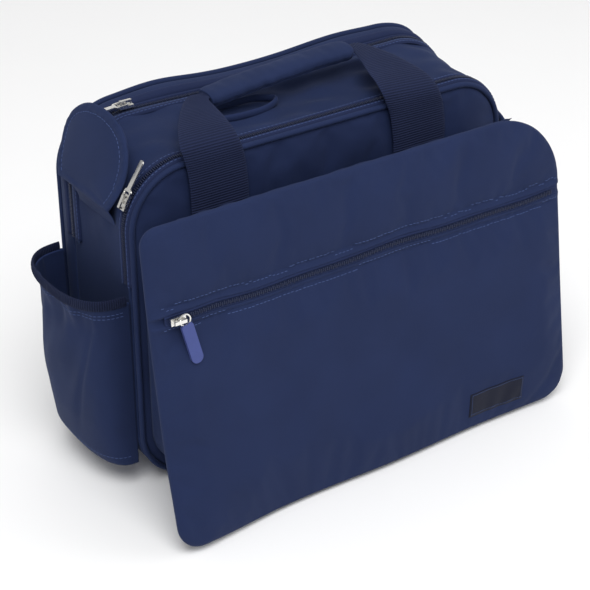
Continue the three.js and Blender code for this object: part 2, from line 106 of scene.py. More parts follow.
def bump(t, centre, width):
    return np.exp(-(((t - centre) / width) ** 2))


def ripple(seed, wavelength, *axes, waves=7):
    """Smooth irregular waves of about one unit, the same on every run."""
    rng = np.random.default_rng(seed)
    total = 0.0
    for _ in range(waves):
        direction = rng.normal(size=len(axes))
        direction /= np.linalg.norm(direction)
        rate = 2 * math.pi / wavelength * rng.uniform(0.6, 1.5)
        phase = rng.uniform(0, 2 * math.pi)
        total = total + np.sin(rate * sum(d * a for d, a in zip(direction, axes)) + phase)
    return total / math.sqrt(waves)


def height_scale(y):
    """The bag stands taller at its back."""
    return 1 + REAR_RISE / HEIGHT * (y - FRONT) / (BACK - FRONT)


def spaced(low, high, step, rows=()):
    """Grid lines from low to high, close together at both ends and beside the sewn rows."""
    rim = np.array([0, 0.7, 1.8, 3.4, 5.6, 8.5])
    middle = np.arange(low + 8.5 + step, high - 8.5 - step / 2, step)
    lines = [low + rim, high - rim, middle]
    for row in rows:
        beside = np.array([2.4, 3.3, 4.2, 5.4, 6.6, 8, 9.5, 11])
        lines.append(row + np.concatenate([-beside, [0], beside]))
    lines = np.sort(np.concatenate(lines))
    lines = lines[(lines >= low) & (lines <= high)]
    keep = [lines[0]]
    for value in lines[1:]:
        if value - keep[-1] > 0.55:
            keep.append(value)
    keep[-1] = high
    return np.array(keep)


def lattice(points, uv, closed_u=False, closed_v=False):
    """Quads over a grid of points; uv has one more row or column where the grid closes."""
    nu, nv = points.shape[:2]
    i, j = np.meshgrid(
        np.arange(nu if closed_u else nu - 1), np.arange(nv if closed_v else nv - 1), indexing="ij"
    )
    i, j = i.ravel(), j.ravel()
    corners = [(i, j), (i + 1, j), (i + 1, j + 1), (i, j + 1)]
    faces = np.stack([(a % nu) * nv + b % nv for a, b in corners], 1)
    return points.reshape(-1, 3), faces, np.stack([uv[a, b] for a, b in corners], 1)


def flipped(part):
    verts, faces, uvs = part
    return verts, faces[:, ::-1], uvs[:, ::-1]


def band_parts(top, under, uv):
    """A thin band's upper and under faces, closed across both its ends."""
    ends = [lattice(np.stack([top[k], under[k]], 0), uv[:2]) for k in (0, -1)]
    return [lattice(top, uv), flipped(lattice(under, uv)), *ends]


def along_all(vector, path):
    """The same vector at every point of a path."""
    return np.repeat([vector], len(path), 0)


def moved(part, turn, shift):
    return part[0] @ np.array(turn).T + np.array(shift), part[1], part[2]


def build(name, parts, material, body=None, weld=0.01, closed=True):
    """One mesh object from its parts, in metres."""
    verts = np.concatenate([p[0] for p in parts])
    starts = np.cumsum([0] + [len(p[0]) for p in parts[:-1]])
    faces = np.concatenate([p[1] + s for p, s in zip(parts, starts)])
    uvs = np.concatenate([p[2] for p in parts])
    mesh = bpy.data.meshes.new(name)
    mesh.vertices.add(len(verts))
    mesh.vertices.foreach_set("co", (verts * MM).astype(np.float32).ravel())
    mesh.loops.add(faces.size)
    mesh.loops.foreach_set("vertex_index", faces.astype(np.int32).ravel())
    mesh.polygons.add(len(faces))
    mesh.polygons.foreach_set("loop_start", np.arange(0, faces.size, 4, dtype=np.int32))
    layer = mesh.uv_layers.new(name="UVMap")
    mesh.update(calc_edges=True)
    layer.data.foreach_set("uv", (uvs * MM).astype(np.float32).ravel())
    tidy_mesh(mesh, weld, closed)
    mesh.materials.append(material)
    obj = bpy.data.objects.new(name, mesh)
    bpy.context.scene.collection.objects.link(obj)
    if body:
        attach(obj, body)
    return obj


def tidy_mesh(mesh, weld, closed):
    bm = bmesh.new()
    bm.from_mesh(mesh)
    if weld:
        bmesh.ops.remove_doubles(bm, verts=bm.verts, dist=weld * MM)
    if closed:
        bmesh.ops.recalc_face_normals(bm, faces=bm.faces)
    for face in bm.faces:
        face.smooth = True
    bm.to_mesh(mesh)
    bm.free()
    mesh.update()


def points_of(obj):
    co = np.zeros(len(obj.data.vertices) * 3, np.float32)
    obj.data.vertices.foreach_get("co", co)
    return co.reshape(-1, 3).astype(float) / MM


def set_points(obj, points):
    obj.data.vertices.foreach_set("co", (points * MM).astype(np.float32).ravel())
    obj.data.update()


def thicken(obj, thickness, lining=None, inward=True):
    """Gives a sheet its thickness; the inner face takes the lining."""
    if lining:
        obj.data.materials.append(lining)
    solid = obj.modifiers.new("Thickness", "SOLIDIFY")
    solid.thickness = thickness * MM
    solid.offset = -1 if inward else 1
    solid.use_even_offset = False
    solid.material_offset = 1 if lining else 0
    return obj


def refine(obj):
    """Applies one subdivision."""
    sub = obj.modifiers.new("Refine", "SUBSURF")
    sub.levels = sub.render_levels = 1
    evaluated = obj.evaluated_get(bpy.context.evaluated_depsgraph_get())
    fine = bpy.data.meshes.new_from_object(evaluated)
    obj.modifiers.clear()
    obj.data = fine


# ---------------------------------------------------------------- padded cloth

def inflate(pads, frames=20, pressure=4.0):
    """Swells padded pieces with a cloth simulation; each pad is (object, held weights, cap)."""
    scene = bpy.context.scene
    for obj, held, _cap in pads:
        group = obj.vertex_groups.new(name="held")
        for i, weight in enumerate(held):
            if weight > 0:
                group.add([i], float(weight), "REPLACE")
        cloth = obj.modifiers.new("Cloth", "CLOTH")
        settings = cloth.settings
        settings.quality = 4
        settings.mass = 0.25
        settings.air_damping = 4
        settings.tension_stiffness = settings.compression_stiffness = 12
        settings.shear_stiffness = 6
        settings.bending_stiffness = 1.2
        settings.shrink_min = -0.01
        settings.vertex_group_mass = "held"
        settings.use_pressure = True
        settings.uniform_pressure_force = pressure
        settings.effector_weights.gravity = 0
        cloth.collision_settings.use_collision = False
        cloth.point_cache.frame_start, cloth.point_cache.frame_end = 1, frames
    for number in range(1, frames + 1):
        scene.frame_set(number)
    depsgraph = bpy.context.evaluated_depsgraph_get()
    for obj, held, cap in pads:
        rest = points_of(obj)
        swollen = obj.evaluated_get(depsgraph).to_mesh()
        co = np.zeros(len(swollen.vertices) * 3, np.float32)
        swollen.vertices.foreach_get("co", co)
        step = co.reshape(-1, 3) / MM - rest
        size = np.linalg.norm(step, axis=1, keepdims=True) + 1e-9
        step *= np.minimum(1, cap / size) * (1 - np.asarray(held)[:, None])
        obj.modifiers.clear()
        obj.vertex_groups.clear()
        set_points(obj, rest + step)
    scene.frame_set(1)


def round_corners(x, z, frame_box, radii):
    """Moves a square grid's corners onto round ones; also gives each point's distance to the edge."""
    x0, x1, z0, z1 = frame_box
    tl, tr, br, bl = radii
    edge = np.minimum(np.minimum(x - x0, x1 - x), np.minimum(z - z0, z1 - z))
    corners = ((x0, z1, -1, 1, tl), (x1, z1, 1, 1, tr), (x1, z0, 1, -1, br), (x0, z0, -1, -1, bl))
    for cx, cz, sx, sz, r in corners:
        if r <= 0:
            continue
        a = sx * (x - cx) / r + 1
        b = sz * (z - cz) / r + 1
        inside = (a > 0) & (b > 0)
        big, small = np.maximum(a, b), np.minimum(a, b)
        angle = math.pi / 4 * small / np.maximum(big, 1e-9)
        long, short = big * np.cos(angle), big * np.sin(angle)
        x = np.where(inside, cx + sx * r * (np.where(a >= b, long, short) - 1), x)
        z = np.where(inside, cz + sz * r * (np.where(a >= b, short, long) - 1), z)
        edge = np.where(inside, r * (1 - big), edge)
    return x, z, np.maximum(edge, 0)


def rolled(edge, reach):
    """Height of a padded edge, from 0 at the seam to 1 at its reach."""
    t = np.clip(edge / reach, 0, 1)
    return np.sqrt(1 - (1 - t) ** 2)


def pad(frame_box, radii, front, back, step=4.0, rows=()):
    """Front and back of a pad; front and back give heights from (x, z, edge distance)."""
    x, z = np.meshgrid(
        spaced(frame_box[0], frame_box[1], step), spaced(frame_box[2], frame_box[3], step, rows),
        indexing="ij")
    x, z, edge = round_corners(x, z, frame_box, radii)
    uv = np.stack([x, z], -1)
    near = lattice(np.stack([x, -front(x, z, edge), z], -1), uv)
    far = lattice(np.stack([x, back(x, z, edge), z], -1), uv)
    return [near, flipped(far)]


# ---------------------------------------------------------------- threads, teeth and tubes

def capsule(length, across, up, sides=6):
    """A small bar along its first axis, with drawn-in ends."""
    along = np.array([-0.5, -0.44, -0.25, 0.25, 0.44, 0.5]) * length
    size = np.array([0.05, 0.7, 1, 1, 0.7, 0.05])
    turn = np.linspace(0, 2 * math.pi, sides, endpoint=False)
    points = np.stack([
        np.repeat(along[:, None], sides, 1),
        across / 2 * size[:, None] * np.cos(turn),
        up / 2 * size[:, None] * np.sin(turn),
    ], -1)
    uv = np.stack(np.meshgrid(along, np.linspace(0, across * 3, sides + 1), indexing="ij"), -1)
    return lattice(points, uv, closed_v=True)


def scatter(template, origins, frames):
    """Copies of a part, one at each origin; a frame's rows are the copy's three axes."""
    verts, faces, uvs = template
    count = len(origins)
    placed = origins[:, None] + np.einsum("kc,ncd->nkd", verts, frames)
    shifts = np.arange(count)[:, None, None] * len(verts)
    return (
        placed.reshape(-1, 3),
        (faces[None] + shifts).reshape(-1, 4),
        np.tile(uvs, (count, 1, 1)) + np.repeat(np.arange(count), len(faces))[:, None, None] * 0.37,
    )


def unit(v):
    return v / (np.linalg.norm(v, axis=-1, keepdims=True) + 1e-12)


def path_length(path):
    return np.concatenate([[0], np.cumsum(np.linalg.norm(np.diff(path, axis=0), axis=1))])


def resample(path, step):
    path = np.asarray(path, float)
    s = path_length(path)
    count = max(int(round(s[-1] / step)), 2)
    at = np.linspace(0, s[-1], count + 1)
    return np.stack([np.interp(at, s, path[:, k]) for k in range(path.shape[1])], 1)


def curve(points, step=1.0):
    """A smooth line through points."""
    p = np.asarray(points, float)
    p = np.concatenate([[2 * p[0] - p[1]], p, [2 * p[-1] - p[-2]]])
    t = np.linspace(0, 1, 24, endpoint=False)[:, None]
    out = []
    for a, b, c, d in zip(p[:-3], p[1:-2], p[2:-1], p[3:]):
        out.append(0.5 * (2 * b + (c - a) * t + (2 * a - 5 * b + 4 * c - d) * t**2
                          + (3 * b - a - 3 * c + d) * t**3))
    out.append(p[-2:-1])
    return resample(np.concatenate(out), step)


def tangents(path):
    return unit(np.gradient(path, axis=0))


def surface_of(obj):
    """The object's mesh as a surface to sew on, in millimetres."""
    verts = [Vector(p) for p in points_of(obj)]
    return BVHTree.FromPolygons(verts, [tuple(f.vertices) for f in obj.data.polygons])


def stitches(path, surface, length=2.9, pitch=4.0, width=0.62, lift=0.08):
    """A row of stitches that lies on the surface along a path."""
    path = resample(path, pitch)
    along = tangents(path)
    origins, normals = [], []
    for point in path:
        spot, normal = surface.find_nearest(Vector(point))[:2]
        origins.append(spot)
        normals.append(normal)
    normals = unit(np.array(normals, float))
    along = unit(along - normals * np.sum(along * normals, 1, keepdims=True))
    across = np.cross(normals, along)
    frames = np.stack([along, across, normals], 1)
    return scatter(capsule(length, width, width), np.array(origins) + normals * lift, frames)


def teeth(path, across, up, width=4.4, pitch=2.0, height=1.3):
    """Coil zip turns along a path; across and up are unit vectors at each path point."""
    s = path_length(path)
    at = np.arange(pitch, s[-1] - pitch / 2, pitch)

    def pick(values):
        return np.stack([np.interp(at, s, values[:, k]) for k in range(3)], 1)

    origins, side, lift = pick(path), unit(pick(across)), unit(pick(up))
    along = np.cross(side, lift)
    stagger = np.where(np.arange(len(at)) % 2 == 0, 0.35, -0.35)[:, None]
    frames = np.stack([side, along, lift], 1)
    return scatter(capsule(width, 1.25, height), origins + side * stagger, frames)


def sweep(path, side, section, uv_scale=1.0):
    """A closed section carried along a path; section is (n, m, 2) across and up, ends closed."""
    t = tangents(path)
    side = unit(side - t * np.sum(side * t, 1, keepdims=True))
    up = np.cross(t, side)
    if section.ndim == 2:
        section = np.repeat(section[None], len(path), 0)
    ends = section.mean(1, keepdims=True)
    section = np.concatenate([ends[:1] + 0 * section[:1], section, ends[-1:] + 0 * section[-1:]])
    path, side, up = (np.concatenate([a[:1], a, a[-1:]]) for a in (path, side, up))
    points = path[:, None] + section[..., :1] * side[:, None] + section[..., 1:] * up[:, None]
    loop = np.concatenate([section[1], section[1][:1]])
    around = path_length(loop)
    s = path_length(path) * uv_scale
    uv = np.stack(np.meshgrid(s, around, indexing="ij"), -1)
    return lattice(points, uv, closed_v=True)


def round_section(radius, sides=14, squeeze=1.0):
    turn = np.linspace(0, 2 * math.pi, sides, endpoint=False)
    return np.stack([radius * np.cos(turn), radius * squeeze * np.sin(turn)], 1)


def ribbon(edge_a, edge_b, thickness, rib=0.16, pitch=2.4, across=15, step=0.55):
    """Webbing between two edge lines, with ribs across it."""
    mean = (np.asarray(edge_a, float) + np.asarray(edge_b, float)) / 2
    s = path_length(mean)
    at = np.linspace(0, s[-1], max(int(s[-1] / step), 2) + 1)
    a, b = (np.stack([np.interp(at, s, np.asarray(e, float)[:, k]) for k in range(3)], 1)
            for e in (edge_a, edge_b))
    across_t = np.sin(np.linspace(-math.pi / 2, math.pi / 2, across))
    middle = a[:, None] + (b - a)[:, None] * (across_t[None, :, None] + 1) / 2
    normal = unit(np.cross(np.gradient(middle, axis=0), (b - a)[:, None] + 0 * middle))
    h = thickness / 2 * (1 - np.abs(across_t) ** 8) ** 0.5
    ribs = 1 + rib * np.cos(2 * math.pi * at / pitch)[:, None]
    height = (h[None] * ribs)[..., None]
    width = np.linalg.norm(b - a, axis=1).mean()
    uv = np.stack(np.meshgrid(at, across_t * width / 2, indexing="ij"), -1)
    front = middle + normal * height
    back = middle - normal * height
    rim = [np.stack([front[k], back[k]], 0) for k in (0, -1)]
    rim_uv = np.stack(np.meshgrid([0, thickness], across_t * width / 2, indexing="ij"), -1)
    return [lattice(front, uv), flipped(lattice(back, uv)),
            flipped(lattice(rim[0], rim_uv)), lattice(rim[1], rim_uv)]


# ---------------------------------------------------------------- materials

def node(tree, kind, settings=None, **inputs):
    made = tree.nodes.new(kind)
    for key, value in (settings or {}).items():
        setattr(made, key, value)
    for key, value in inputs.items():
        socket = made.inputs[int(key[1:])] if key[0] == "i" and key[1:].isdigit() else made.inputs[key]
        if isinstance(value, bpy.types.NodeSocket):
            tree.links.new(value, socket)
        else:
            socket.default_value = value
    return made


def maths(tree, operation, a, b=0.0):
    return node(tree, "ShaderNodeMath", {"operation": operation}, i0=a, i1=b).outputs[0]


def start_material(name, roughness, sheen=0.0, metallic=0.0, specular=0.3):
    mat = bpy.data.materials.new(name)
    mat.use_nodes = True
    shader = mat.node_tree.nodes["Principled BSDF"]
    shader.inputs["Roughness"].default_value = roughness
    shader.inputs["Metallic"].default_value = metallic
    shader.inputs["Specular IOR Level"].default_value = 0.5 if metallic else specular
    if sheen:
        shader.inputs["Sheen Weight"].default_value = sheen
        shader.inputs["Sheen Roughness"].default_value = 0.45
        shader.inputs["Sheen Tint"].default_value = (0.45, 0.58, 1.0, 1)
    return mat, mat.node_tree, shader


def varied_color(tree, color, uv, amount, scale):
    """The base colour with slow patches and fine grain."""
    patches = node(tree, "ShaderNodeTexNoise", Vector=uv, Scale=scale, Detail=3.0).outputs["Fac"]
    grain = node(tree, "ShaderNodeTexNoise", Vector=uv, Scale=scale * 40, Detail=2.0).outputs["Fac"]
    both = maths(tree, "ADD", maths(tree, "MULTIPLY", patches, 0.7), maths(tree, "MULTIPLY", grain, 0.3))
    ramp = node(tree, "ShaderNodeMapRange", Value=both)
    ramp.inputs["From Min"].default_value = 0.3
    ramp.inputs["From Max"].default_value = 0.7
    ramp.inputs["To Min"].default_value = 1 - amount
    ramp.inputs["To Max"].default_value = 1 + amount
    scaled = node(tree, "ShaderNodeVectorMath", {"operation": "SCALE"}, i0=(*color,))
    tree.links.new(ramp.outputs[0], scaled.inputs["Scale"])
    return scaled.outputs[0]


def worn(tree, color, amount):
    """Lightens the raised edges a little."""
    point = node(tree, "ShaderNodeNewGeometry").outputs["Pointiness"]
    edge = node(tree, "ShaderNodeMapRange", Value=point)
    edge.inputs["From Min"].default_value = 0.51
    edge.inputs["From Max"].default_value = 0.6
    edge.inputs["To Min"].default_value = 1.0
    edge.inputs["To Max"].default_value = 1 + amount
    scaled = node(tree, "ShaderNodeVectorMath", {"operation": "SCALE"}, i0=color)
    tree.links.new(edge.outputs[0], scaled.inputs["Scale"])
    return scaled.outputs[0]


def weave_height(tree, uv, pitch_u, pitch_v):
    parts = node(tree, "ShaderNodeSeparateXYZ", i0=uv)
    waves = [
        maths(tree, "SINE", maths(tree, "MULTIPLY", parts.outputs[k], 2 * math.pi / pitch))
        for k, pitch in ((0, pitch_u * MM), (1, pitch_v * MM))
    ]
    return maths(tree, "MULTIPLY", *waves)


def add_bump(tree, shader, heights):
    """Bump from several (height, distance in mm, strength) layers."""
    normal = None
    for height, distance, strength in heights:
        layer = node(tree, "ShaderNodeBump", Height=height, Strength=strength)
        layer.inputs["Distance"].default_value = distance * MM
        if normal:
            tree.links.new(normal, layer.inputs["Normal"])
        normal = layer.outputs[0]
    tree.links.new(normal, shader.inputs["Normal"])


def fabric(name, color, pitch=0.7, weave=0.5, roughness=0.82, sheen=0.06, patches=0.1):
    mat, tree, shader = start_material(name, roughness, sheen, specular=0.17)
    uv = node(tree, "ShaderNodeUVMap").outputs[0]
    tint = worn(tree, varied_color(tree, color, uv, patches, 18.0), 0.35)
    tree.links.new(tint, shader.inputs["Base Color"])
    slub = node(tree, "ShaderNodeTexNoise", Vector=uv, Scale=260.0, Detail=3.0).outputs["Fac"]
    crumple = node(tree, "ShaderNodeTexNoise", Vector=uv, Scale=55.0, Detail=2.0).outputs["Fac"]
    add_bump(tree, shader, [
        (crumple, 0.8, 0.25),
        (slub, 0.12, 0.4),
        (weave_height(tree, uv, pitch, pitch), 0.06, weave),
    ])
    return mat


def ribbed(name, color, pitch=2.4, across=0.9, roughness=0.85, sheen=0.05):
    """Webbing: ribs along U, fine cords across."""
    mat, tree, shader = start_material(name, roughness, sheen, specular=0.15)
    uv = node(tree, "ShaderNodeUVMap").outputs[0]
    parts = node(tree, "ShaderNodeSeparateXYZ", i0=uv)
    rib = maths(tree, "COSINE", maths(tree, "MULTIPLY", parts.outputs[0], 2 * math.pi / (pitch * MM)))
    # painted shade and highlight: the base colour darkens in the grooves between the ribs and lightens on
    # their crests, in step with the rib bump
    painted_rib_shading = node(tree, "ShaderNodeMapRange", Value=rib)
    painted_rib_shading.inputs["From Min"].default_value = -1.0
    painted_rib_shading.inputs["To Min"].default_value = 0.72
    painted_rib_shading.inputs["To Max"].default_value = 1.12
    base = varied_color(tree, color, uv, 0.1, 30.0)
    scaled = node(tree, "ShaderNodeVectorMath", {"operation": "SCALE"}, i0=base)
    tree.links.new(painted_rib_shading.outputs[0], scaled.inputs["Scale"])
    tree.links.new(worn(tree, scaled.outputs[0], 0.3), shader.inputs["Base Color"])
    add_bump(tree, shader, [
        (rib, 0.25, 0.6),
        (weave_height(tree, uv, 1.2, across), 0.12, 0.6),
    ])
    return mat


def plastic(name, color, roughness, grain=300.0, depth=0.03):
    mat, tree, shader = start_material(name, roughness)
    uv = node(tree, "ShaderNodeTexCoord").outputs["Object"]
    tint = worn(tree, varied_color(tree, color, uv, 0.08, 60.0), 0.25)
    tree.links.new(tint, shader.inputs["Base Color"])
    noise = node(tree, "ShaderNodeTexNoise", Vector=uv, Scale=grain * 6, Detail=2.0).outputs["Fac"]
    add_bump(tree, shader, [(noise, depth, 0.5)])
    return mat


def metal(name, color):
    mat, tree, shader = start_material(name, 0.24, metallic=1.0)
    where = node(tree, "ShaderNodeTexCoord").outputs["Object"]
    tint = varied_color(tree, color, where, 0.06, 120.0)
    tree.links.new(tint, shader.inputs["Base Color"])
    smudge = node(tree, "ShaderNodeTexNoise", Vector=where, Scale=400.0, Detail=3.0).outputs["Fac"]
    rough = node(tree, "ShaderNodeMapRange", Value=smudge)
    rough.inputs["To Min"].default_value = 0.16
    rough.inputs["To Max"].default_value = 0.36
    tree.links.new(rough.outputs[0], shader.inputs["Roughness"])
    add_bump(tree, shader, [(smudge, 0.02, 0.3)])
    return mat


def satin(name, color):
    """Woven label: fine ribs one way and a soft gloss."""
    mat, tree, shader = start_material(name, 0.55, specular=0.2)
    uv = node(tree, "ShaderNodeUVMap").outputs[0]
    tree.links.new(varied_color(tree, color, uv, 0.08, 60.0), shader.inputs["Base Color"])
    add_bump(tree, shader, [(weave_height(tree, uv, 2.2, 0.5), 0.05, 0.6)])
    return mat


NAVY = fabric("navy_fabric", (0.0115, 0.0205, 0.066))
NAVY_SOFT = fabric("navy_fabric_soft", (0.0120, 0.0215, 0.068), pitch=0.7, patches=0.14)
PIPING = fabric("piping_fabric", (0.0105, 0.019, 0.061), pitch=0.6, sheen=0.08)
LINING = fabric("lining_fabric", (0.24, 0.26, 0.31), pitch=0.5, patches=0.05)
WEBBING = ribbed("navy_webbing", (0.0125, 0.0185, 0.053))
ELASTIC = ribbed("ribbed_binding", (0.008, 0.012, 0.036), pitch=2.0, across=1.4)
TAPE = fabric("zip_tape", (0.010, 0.017, 0.056), pitch=0.9, weave=0.7)
THREAD = plastic("sewing_thread", (0.040, 0.065, 0.165), 0.7, grain=500.0)
COIL = plastic("zip_coil", (0.010, 0.015, 0.040), 0.34)
STEEL = metal("polished_metal", (0.80, 0.79, 0.76))
RUBBER = plastic("soft_rubber", (0.040, 0.056, 0.185), 0.55, grain=220.0, depth=0.05)
LABEL = satin("woven_label", (0.0035, 0.0055, 0.019))
BOARD = plastic("stiffener_board", (0.07, 0.075, 0.085), 0.6, grain=120.0, depth=0.08)


# ---------------------------------------------------------------- the bag's outline

def outline(step=4.0):
    """The end-on outline, from the middle of the base towards +X: points, outward normals."""
    flat, side, arc = HALF - CORNER, HEIGHT - 2 * CORNER, math.pi / 2 * CORNER
    lengths = [flat, arc, side, arc, 2 * flat, arc, side, arc, flat]
    corners = [(flat, CORNER, -90), (flat, HEIGHT - CORNER, 0), (-flat, HEIGHT - CORNER, 90),
               (-flat, CORNER, 180)]
    points, normals = [], []
    cursor = np.array([0.0, 0.0])
    heading = 0.0
    corner = 0
    for k, length in enumerate(lengths):
        count = int(round(length / step))
        t = np.arange(count) / count
        if k % 2 == 0:
            d = np.array([math.cos(heading), math.sin(heading)])
            points.append(cursor + t[:, None] * length * d)
            normals.append(np.repeat([[d[1], -d[0]]], count, 0))
            cursor = cursor + length * d
        else:
            cx, cz, start = corners[corner]
            corner += 1
            angle = np.radians(start + 90 * t)
            out = np.stack([np.cos(angle), np.sin(angle)], 1)
            points.append(np.array([cx, cz]) + CORNER * out)
            normals.append(out)
            heading += math.pi / 2
            end = math.radians(start + 90)
            cursor = np.array([cx + CORNER * math.cos(end), cz + CORNER * math.sin(end)])
    return np.concatenate(points), np.concatenate(normals)


OUTLINE, OUTWARD = outline()


def swell(x, z, y):
    """How far the stuffed bag stands out from the plain outline near its top."""
    on_top = smooth((z - 262) / 45)
    depth = np.clip((y - FRONT) / (BACK - FRONT), 0, 1.1)
    zip_channel = 1 - 0.92 * bump(y, REAR_ZIP_Y, 11)
    crest = (5.5 * bump(x, -100, 45) + 6 * bump(x, 105, 60)) * zip_channel
    sag = 6.5 * np.sin(math.pi * np.minimum(depth, 1)) ** 2 * bump(x, -25, 100)
    corner = 11 * bump(np.hypot(x - 190, z - 286), 0, 34) * depth**3
    return on_top * (depth**1.5 * crest - sag) + corner


def on_ring(y, offset=0.0, rows=slice(None)):
    """Points on the bag's soft outline at depth y, moved outwards; y and offset may be columns."""
    p, n = OUTLINE[rows], OUTWARD[rows]
    y = np.asarray(y, float)
    y, offset = np.broadcast_arrays(y, np.asarray(offset, float))
    y, offset = y.reshape(-1), offset.reshape(-1)
    x = p[:, :1] + n[:, :1] * offset
    z = p[:, 1:] + n[:, 1:] * offset
    out = swell(p[:, :1], p[:, 1:], y[None])
    x = x + n[:, :1] * out
    z = (z + n[:, 1:] * out) * height_scale(y)
    return np.stack([x, np.broadcast_to(y, x.shape), z], -1)


RING_S = path_length(np.concatenate([OUTLINE, OUTLINE[:1]]))
ABOVE_LEGS = np.where(OUTLINE[:, 1] > ZIP_LEG_END)[0]


def ring_uv(y, rows=None):
    s = RING_S if rows is None else RING_S[rows]
    return np.stack(np.meshgrid(s, np.asarray(y, float), indexing="ij"), -1)


# ---------------------------------------------------------------- body shell

def build_gusset():
    y = np.concatenate([[GUSSET_FRONT, -56, -54], np.arange(-51, GUSSET_BACK - 2, 3), [36.5, GUSSET_BACK]])
    points = on_ring(y)
    s, depth = np.meshgrid(RING_S[:-1], y, indexing="ij")
    high = smooth((points[..., 2] - 215) / 60)
    soft = 1.1 * ripple(3, 46, s, depth * 1.6) * high
    pinch = smooth((depth - GUSSET_FRONT) / 14) * smooth((GUSSET_BACK - depth) / 12)
    ridge = 2.6 * bump(depth - 22 + 0.10 * points[..., 0], 0, 4.5) * smooth((120 + points[..., 0]) / 40)
    ridge *= smooth((150 - points[..., 0]) / 60) * (points[..., 2] > 280)
    lift = (soft + ridge) * pinch
    points[..., 0] += OUTWARD[:, None, 0] * lift
    points[..., 2] += OUTWARD[:, None, 1] * lift
    sheet = build("gusset", [flipped(lattice(points, ring_uv(y), closed_u=True))], NAVY_SOFT, closed=False)
    thicken(sheet, WALL, LINING)
    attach(sheet, "bag_body")
    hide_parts("gusset_shell")
    return sheet


def build_rear_gusset():
    y = np.array([GUSSET_BACK + 0.3, 40, 42, 45, 48, 51, 54, 56, 57.6])
    points = on_ring(y, 1.6 * np.sin(np.pi * (y - y[0]) / (y[-1] - y[0])))
    parts = [flipped(lattice(points, ring_uv(y), closed_u=True))]
    sheet = build("rear_gusset", parts, NAVY_SOFT, closed=False)
    thicken(sheet, WALL, LINING)
    lid_blend(sheet)
    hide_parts("rear_lid_gusset")


def lid_blend(obj):
    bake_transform(obj)


def piping(name, y):
    """A corded edge that runs right round the outline."""
    turn = np.linspace(0, 2 * math.pi, 12, endpoint=False)
    depth = y + PIPING_RADIUS * np.sin(turn)
    points = on_ring(depth, -1.9 + PIPING_RADIUS * np.cos(turn))
    around = np.linspace(0, 2 * math.pi * PIPING_RADIUS, 13)
    uv = np.stack(np.meshgrid(RING_S, around, indexing="ij"), -1)
    return build(name, [lattice(points, uv, closed_u=True, closed_v=True)], PIPING)


def build_pipings():
    front = piping("front_piping_cord", FRONT + 1.4)
    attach(front, "bag_body")
    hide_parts("front_piping")
    rear = piping("rear_piping_cord", BACK - 1.4)
    lid_blend(rear)
    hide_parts("rear_lower_piping", "rear_lid_piping")


def body_panel(name, y_mid, outward, half_depth, material, seed):
    """A padded face of the bag inside its piping; outward is -1 at the front and 1 at the back."""
    inset = PANEL_INSET
    frame_box = (-HALF + inset, HALF - inset, inset, HEIGHT - inset)
    radii = (CORNER - inset,) * 4

    def face(x, z, edge):
        wave = 0.5 * ripple(seed, 60, x, z) * rolled(edge, 30)
        puff = 4.0 * bump(x, 160, 28) * bump(z, 262, 30) * rolled(edge, 22) if outward < 0 else 0
        return half_depth * rolled(edge, 9) + wave + puff

    def inner(x, z, edge):
        return half_depth * rolled(edge, 5)

    front, back = (face, inner) if outward < 0 else (inner, face)
    parts = pad(frame_box, radii, front, back, step=5.0)
    stretched = []
    for verts, faces, uvs in parts:
        x, y, z = verts.T
        y = y + y_mid
        z = z * height_scale(y) + swell(x, z, y)
        stretched.append((np.stack([x, y, z], 1), faces, uvs))
    return build(name, stretched, material)


# ---------------------------------------------------------------- zips

def zip_band(name, y, low, high, material, body, rows=ABOVE_LEGS):
    """Zip tape along the top with a rolled fabric fold on each side of the coil."""
    across = np.array([low, low + 0.6, low + 1.6, low + 2.8, y - 3.1, y - 2.7, y - 1, y + 1, y + 2.7,
                       y + 3.1, high - 2.8, high - 1.6, high - 0.6, high])
    height = np.array([0.2, 1.4, 2.3, 2.7, 2.7, 1.0, 0.9, 0.9, 1.0, 2.7, 2.7, 2.3, 1.4, 0.2])
    top = on_ring(across, height, rows)
    under = on_ring(across, 0.05, rows)
    return build(name, band_parts(top, under, ring_uv(across, rows)), material, body)


def coil(name, y, body):
    path = on_ring(y, COIL_TOP - 0.75, ABOVE_LEGS)[:, 0]
    n = OUTWARD[ABOVE_LEGS]
    up = np.stack([n[:, 0], 0 * n[:, 0], n[:, 1]], 1)
    across = along_all([0.0, 1.0, 0.0], path)
    part = teeth(path, across, up, height=1.5)
    return build(name, [part], COIL, body, weld=0)


def ring_seam(surface, y, rows=ABOVE_LEGS, offset=2.5):
    return stitches(on_ring(y, offset, rows)[:, 0], surface)


def build_top_zips():
    front = zip_band("front_zip_band", FRONT_ZIP_Y, *FRONT_TAPE, TAPE, "bag_body")
    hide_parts("front_zip_tape")
    rear = zip_band("rear_zip_band", REAR_ZIP_Y, *REAR_TAPE, TAPE, "bag_body")
    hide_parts("rear_zip_tape")
    for name, y in (("front", FRONT_ZIP_Y), ("rear", REAR_ZIP_Y)):
        made = coil(f"{name}_zip_teeth", y, "bag_body")
        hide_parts(f"{name}_zip_coil")
    surface = surface_of(front)
    seams = [ring_seam(surface, y) for y in (-60.6, -50.2)]
    surface = surface_of(rear)
    seams += [ring_seam(surface, y) for y in (25.8, 29.6)]
    thread = build("top_zip_stitches", seams, THREAD, "bag_body", weld=0)


def build_lid_tape():
    y = np.array([LID_TAPE[0], 42.4, 43.4, 46.0, 48.4, 49.2, LID_TAPE[1]])
    height = np.array([0.1, 1.1, 1.6, 1.9, 1.6, 1.1, 0.1]) + 1.0
    top = on_ring(y, height, ABOVE_LEGS)
    under = on_ring(y, 0.4, ABOVE_LEGS)
    band = build("lid_zip_band", band_parts(top, under, ring_uv(y, ABOVE_LEGS)), TAPE, "rear_lid")
    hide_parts("rear_lid_zip_tape")


# ---------------------------------------------------------------- end pockets and covers

def pocket_depth(z):
    heights, depths = zip(*POCKET_DEPTHS)
    return np.interp(z, heights, depths)


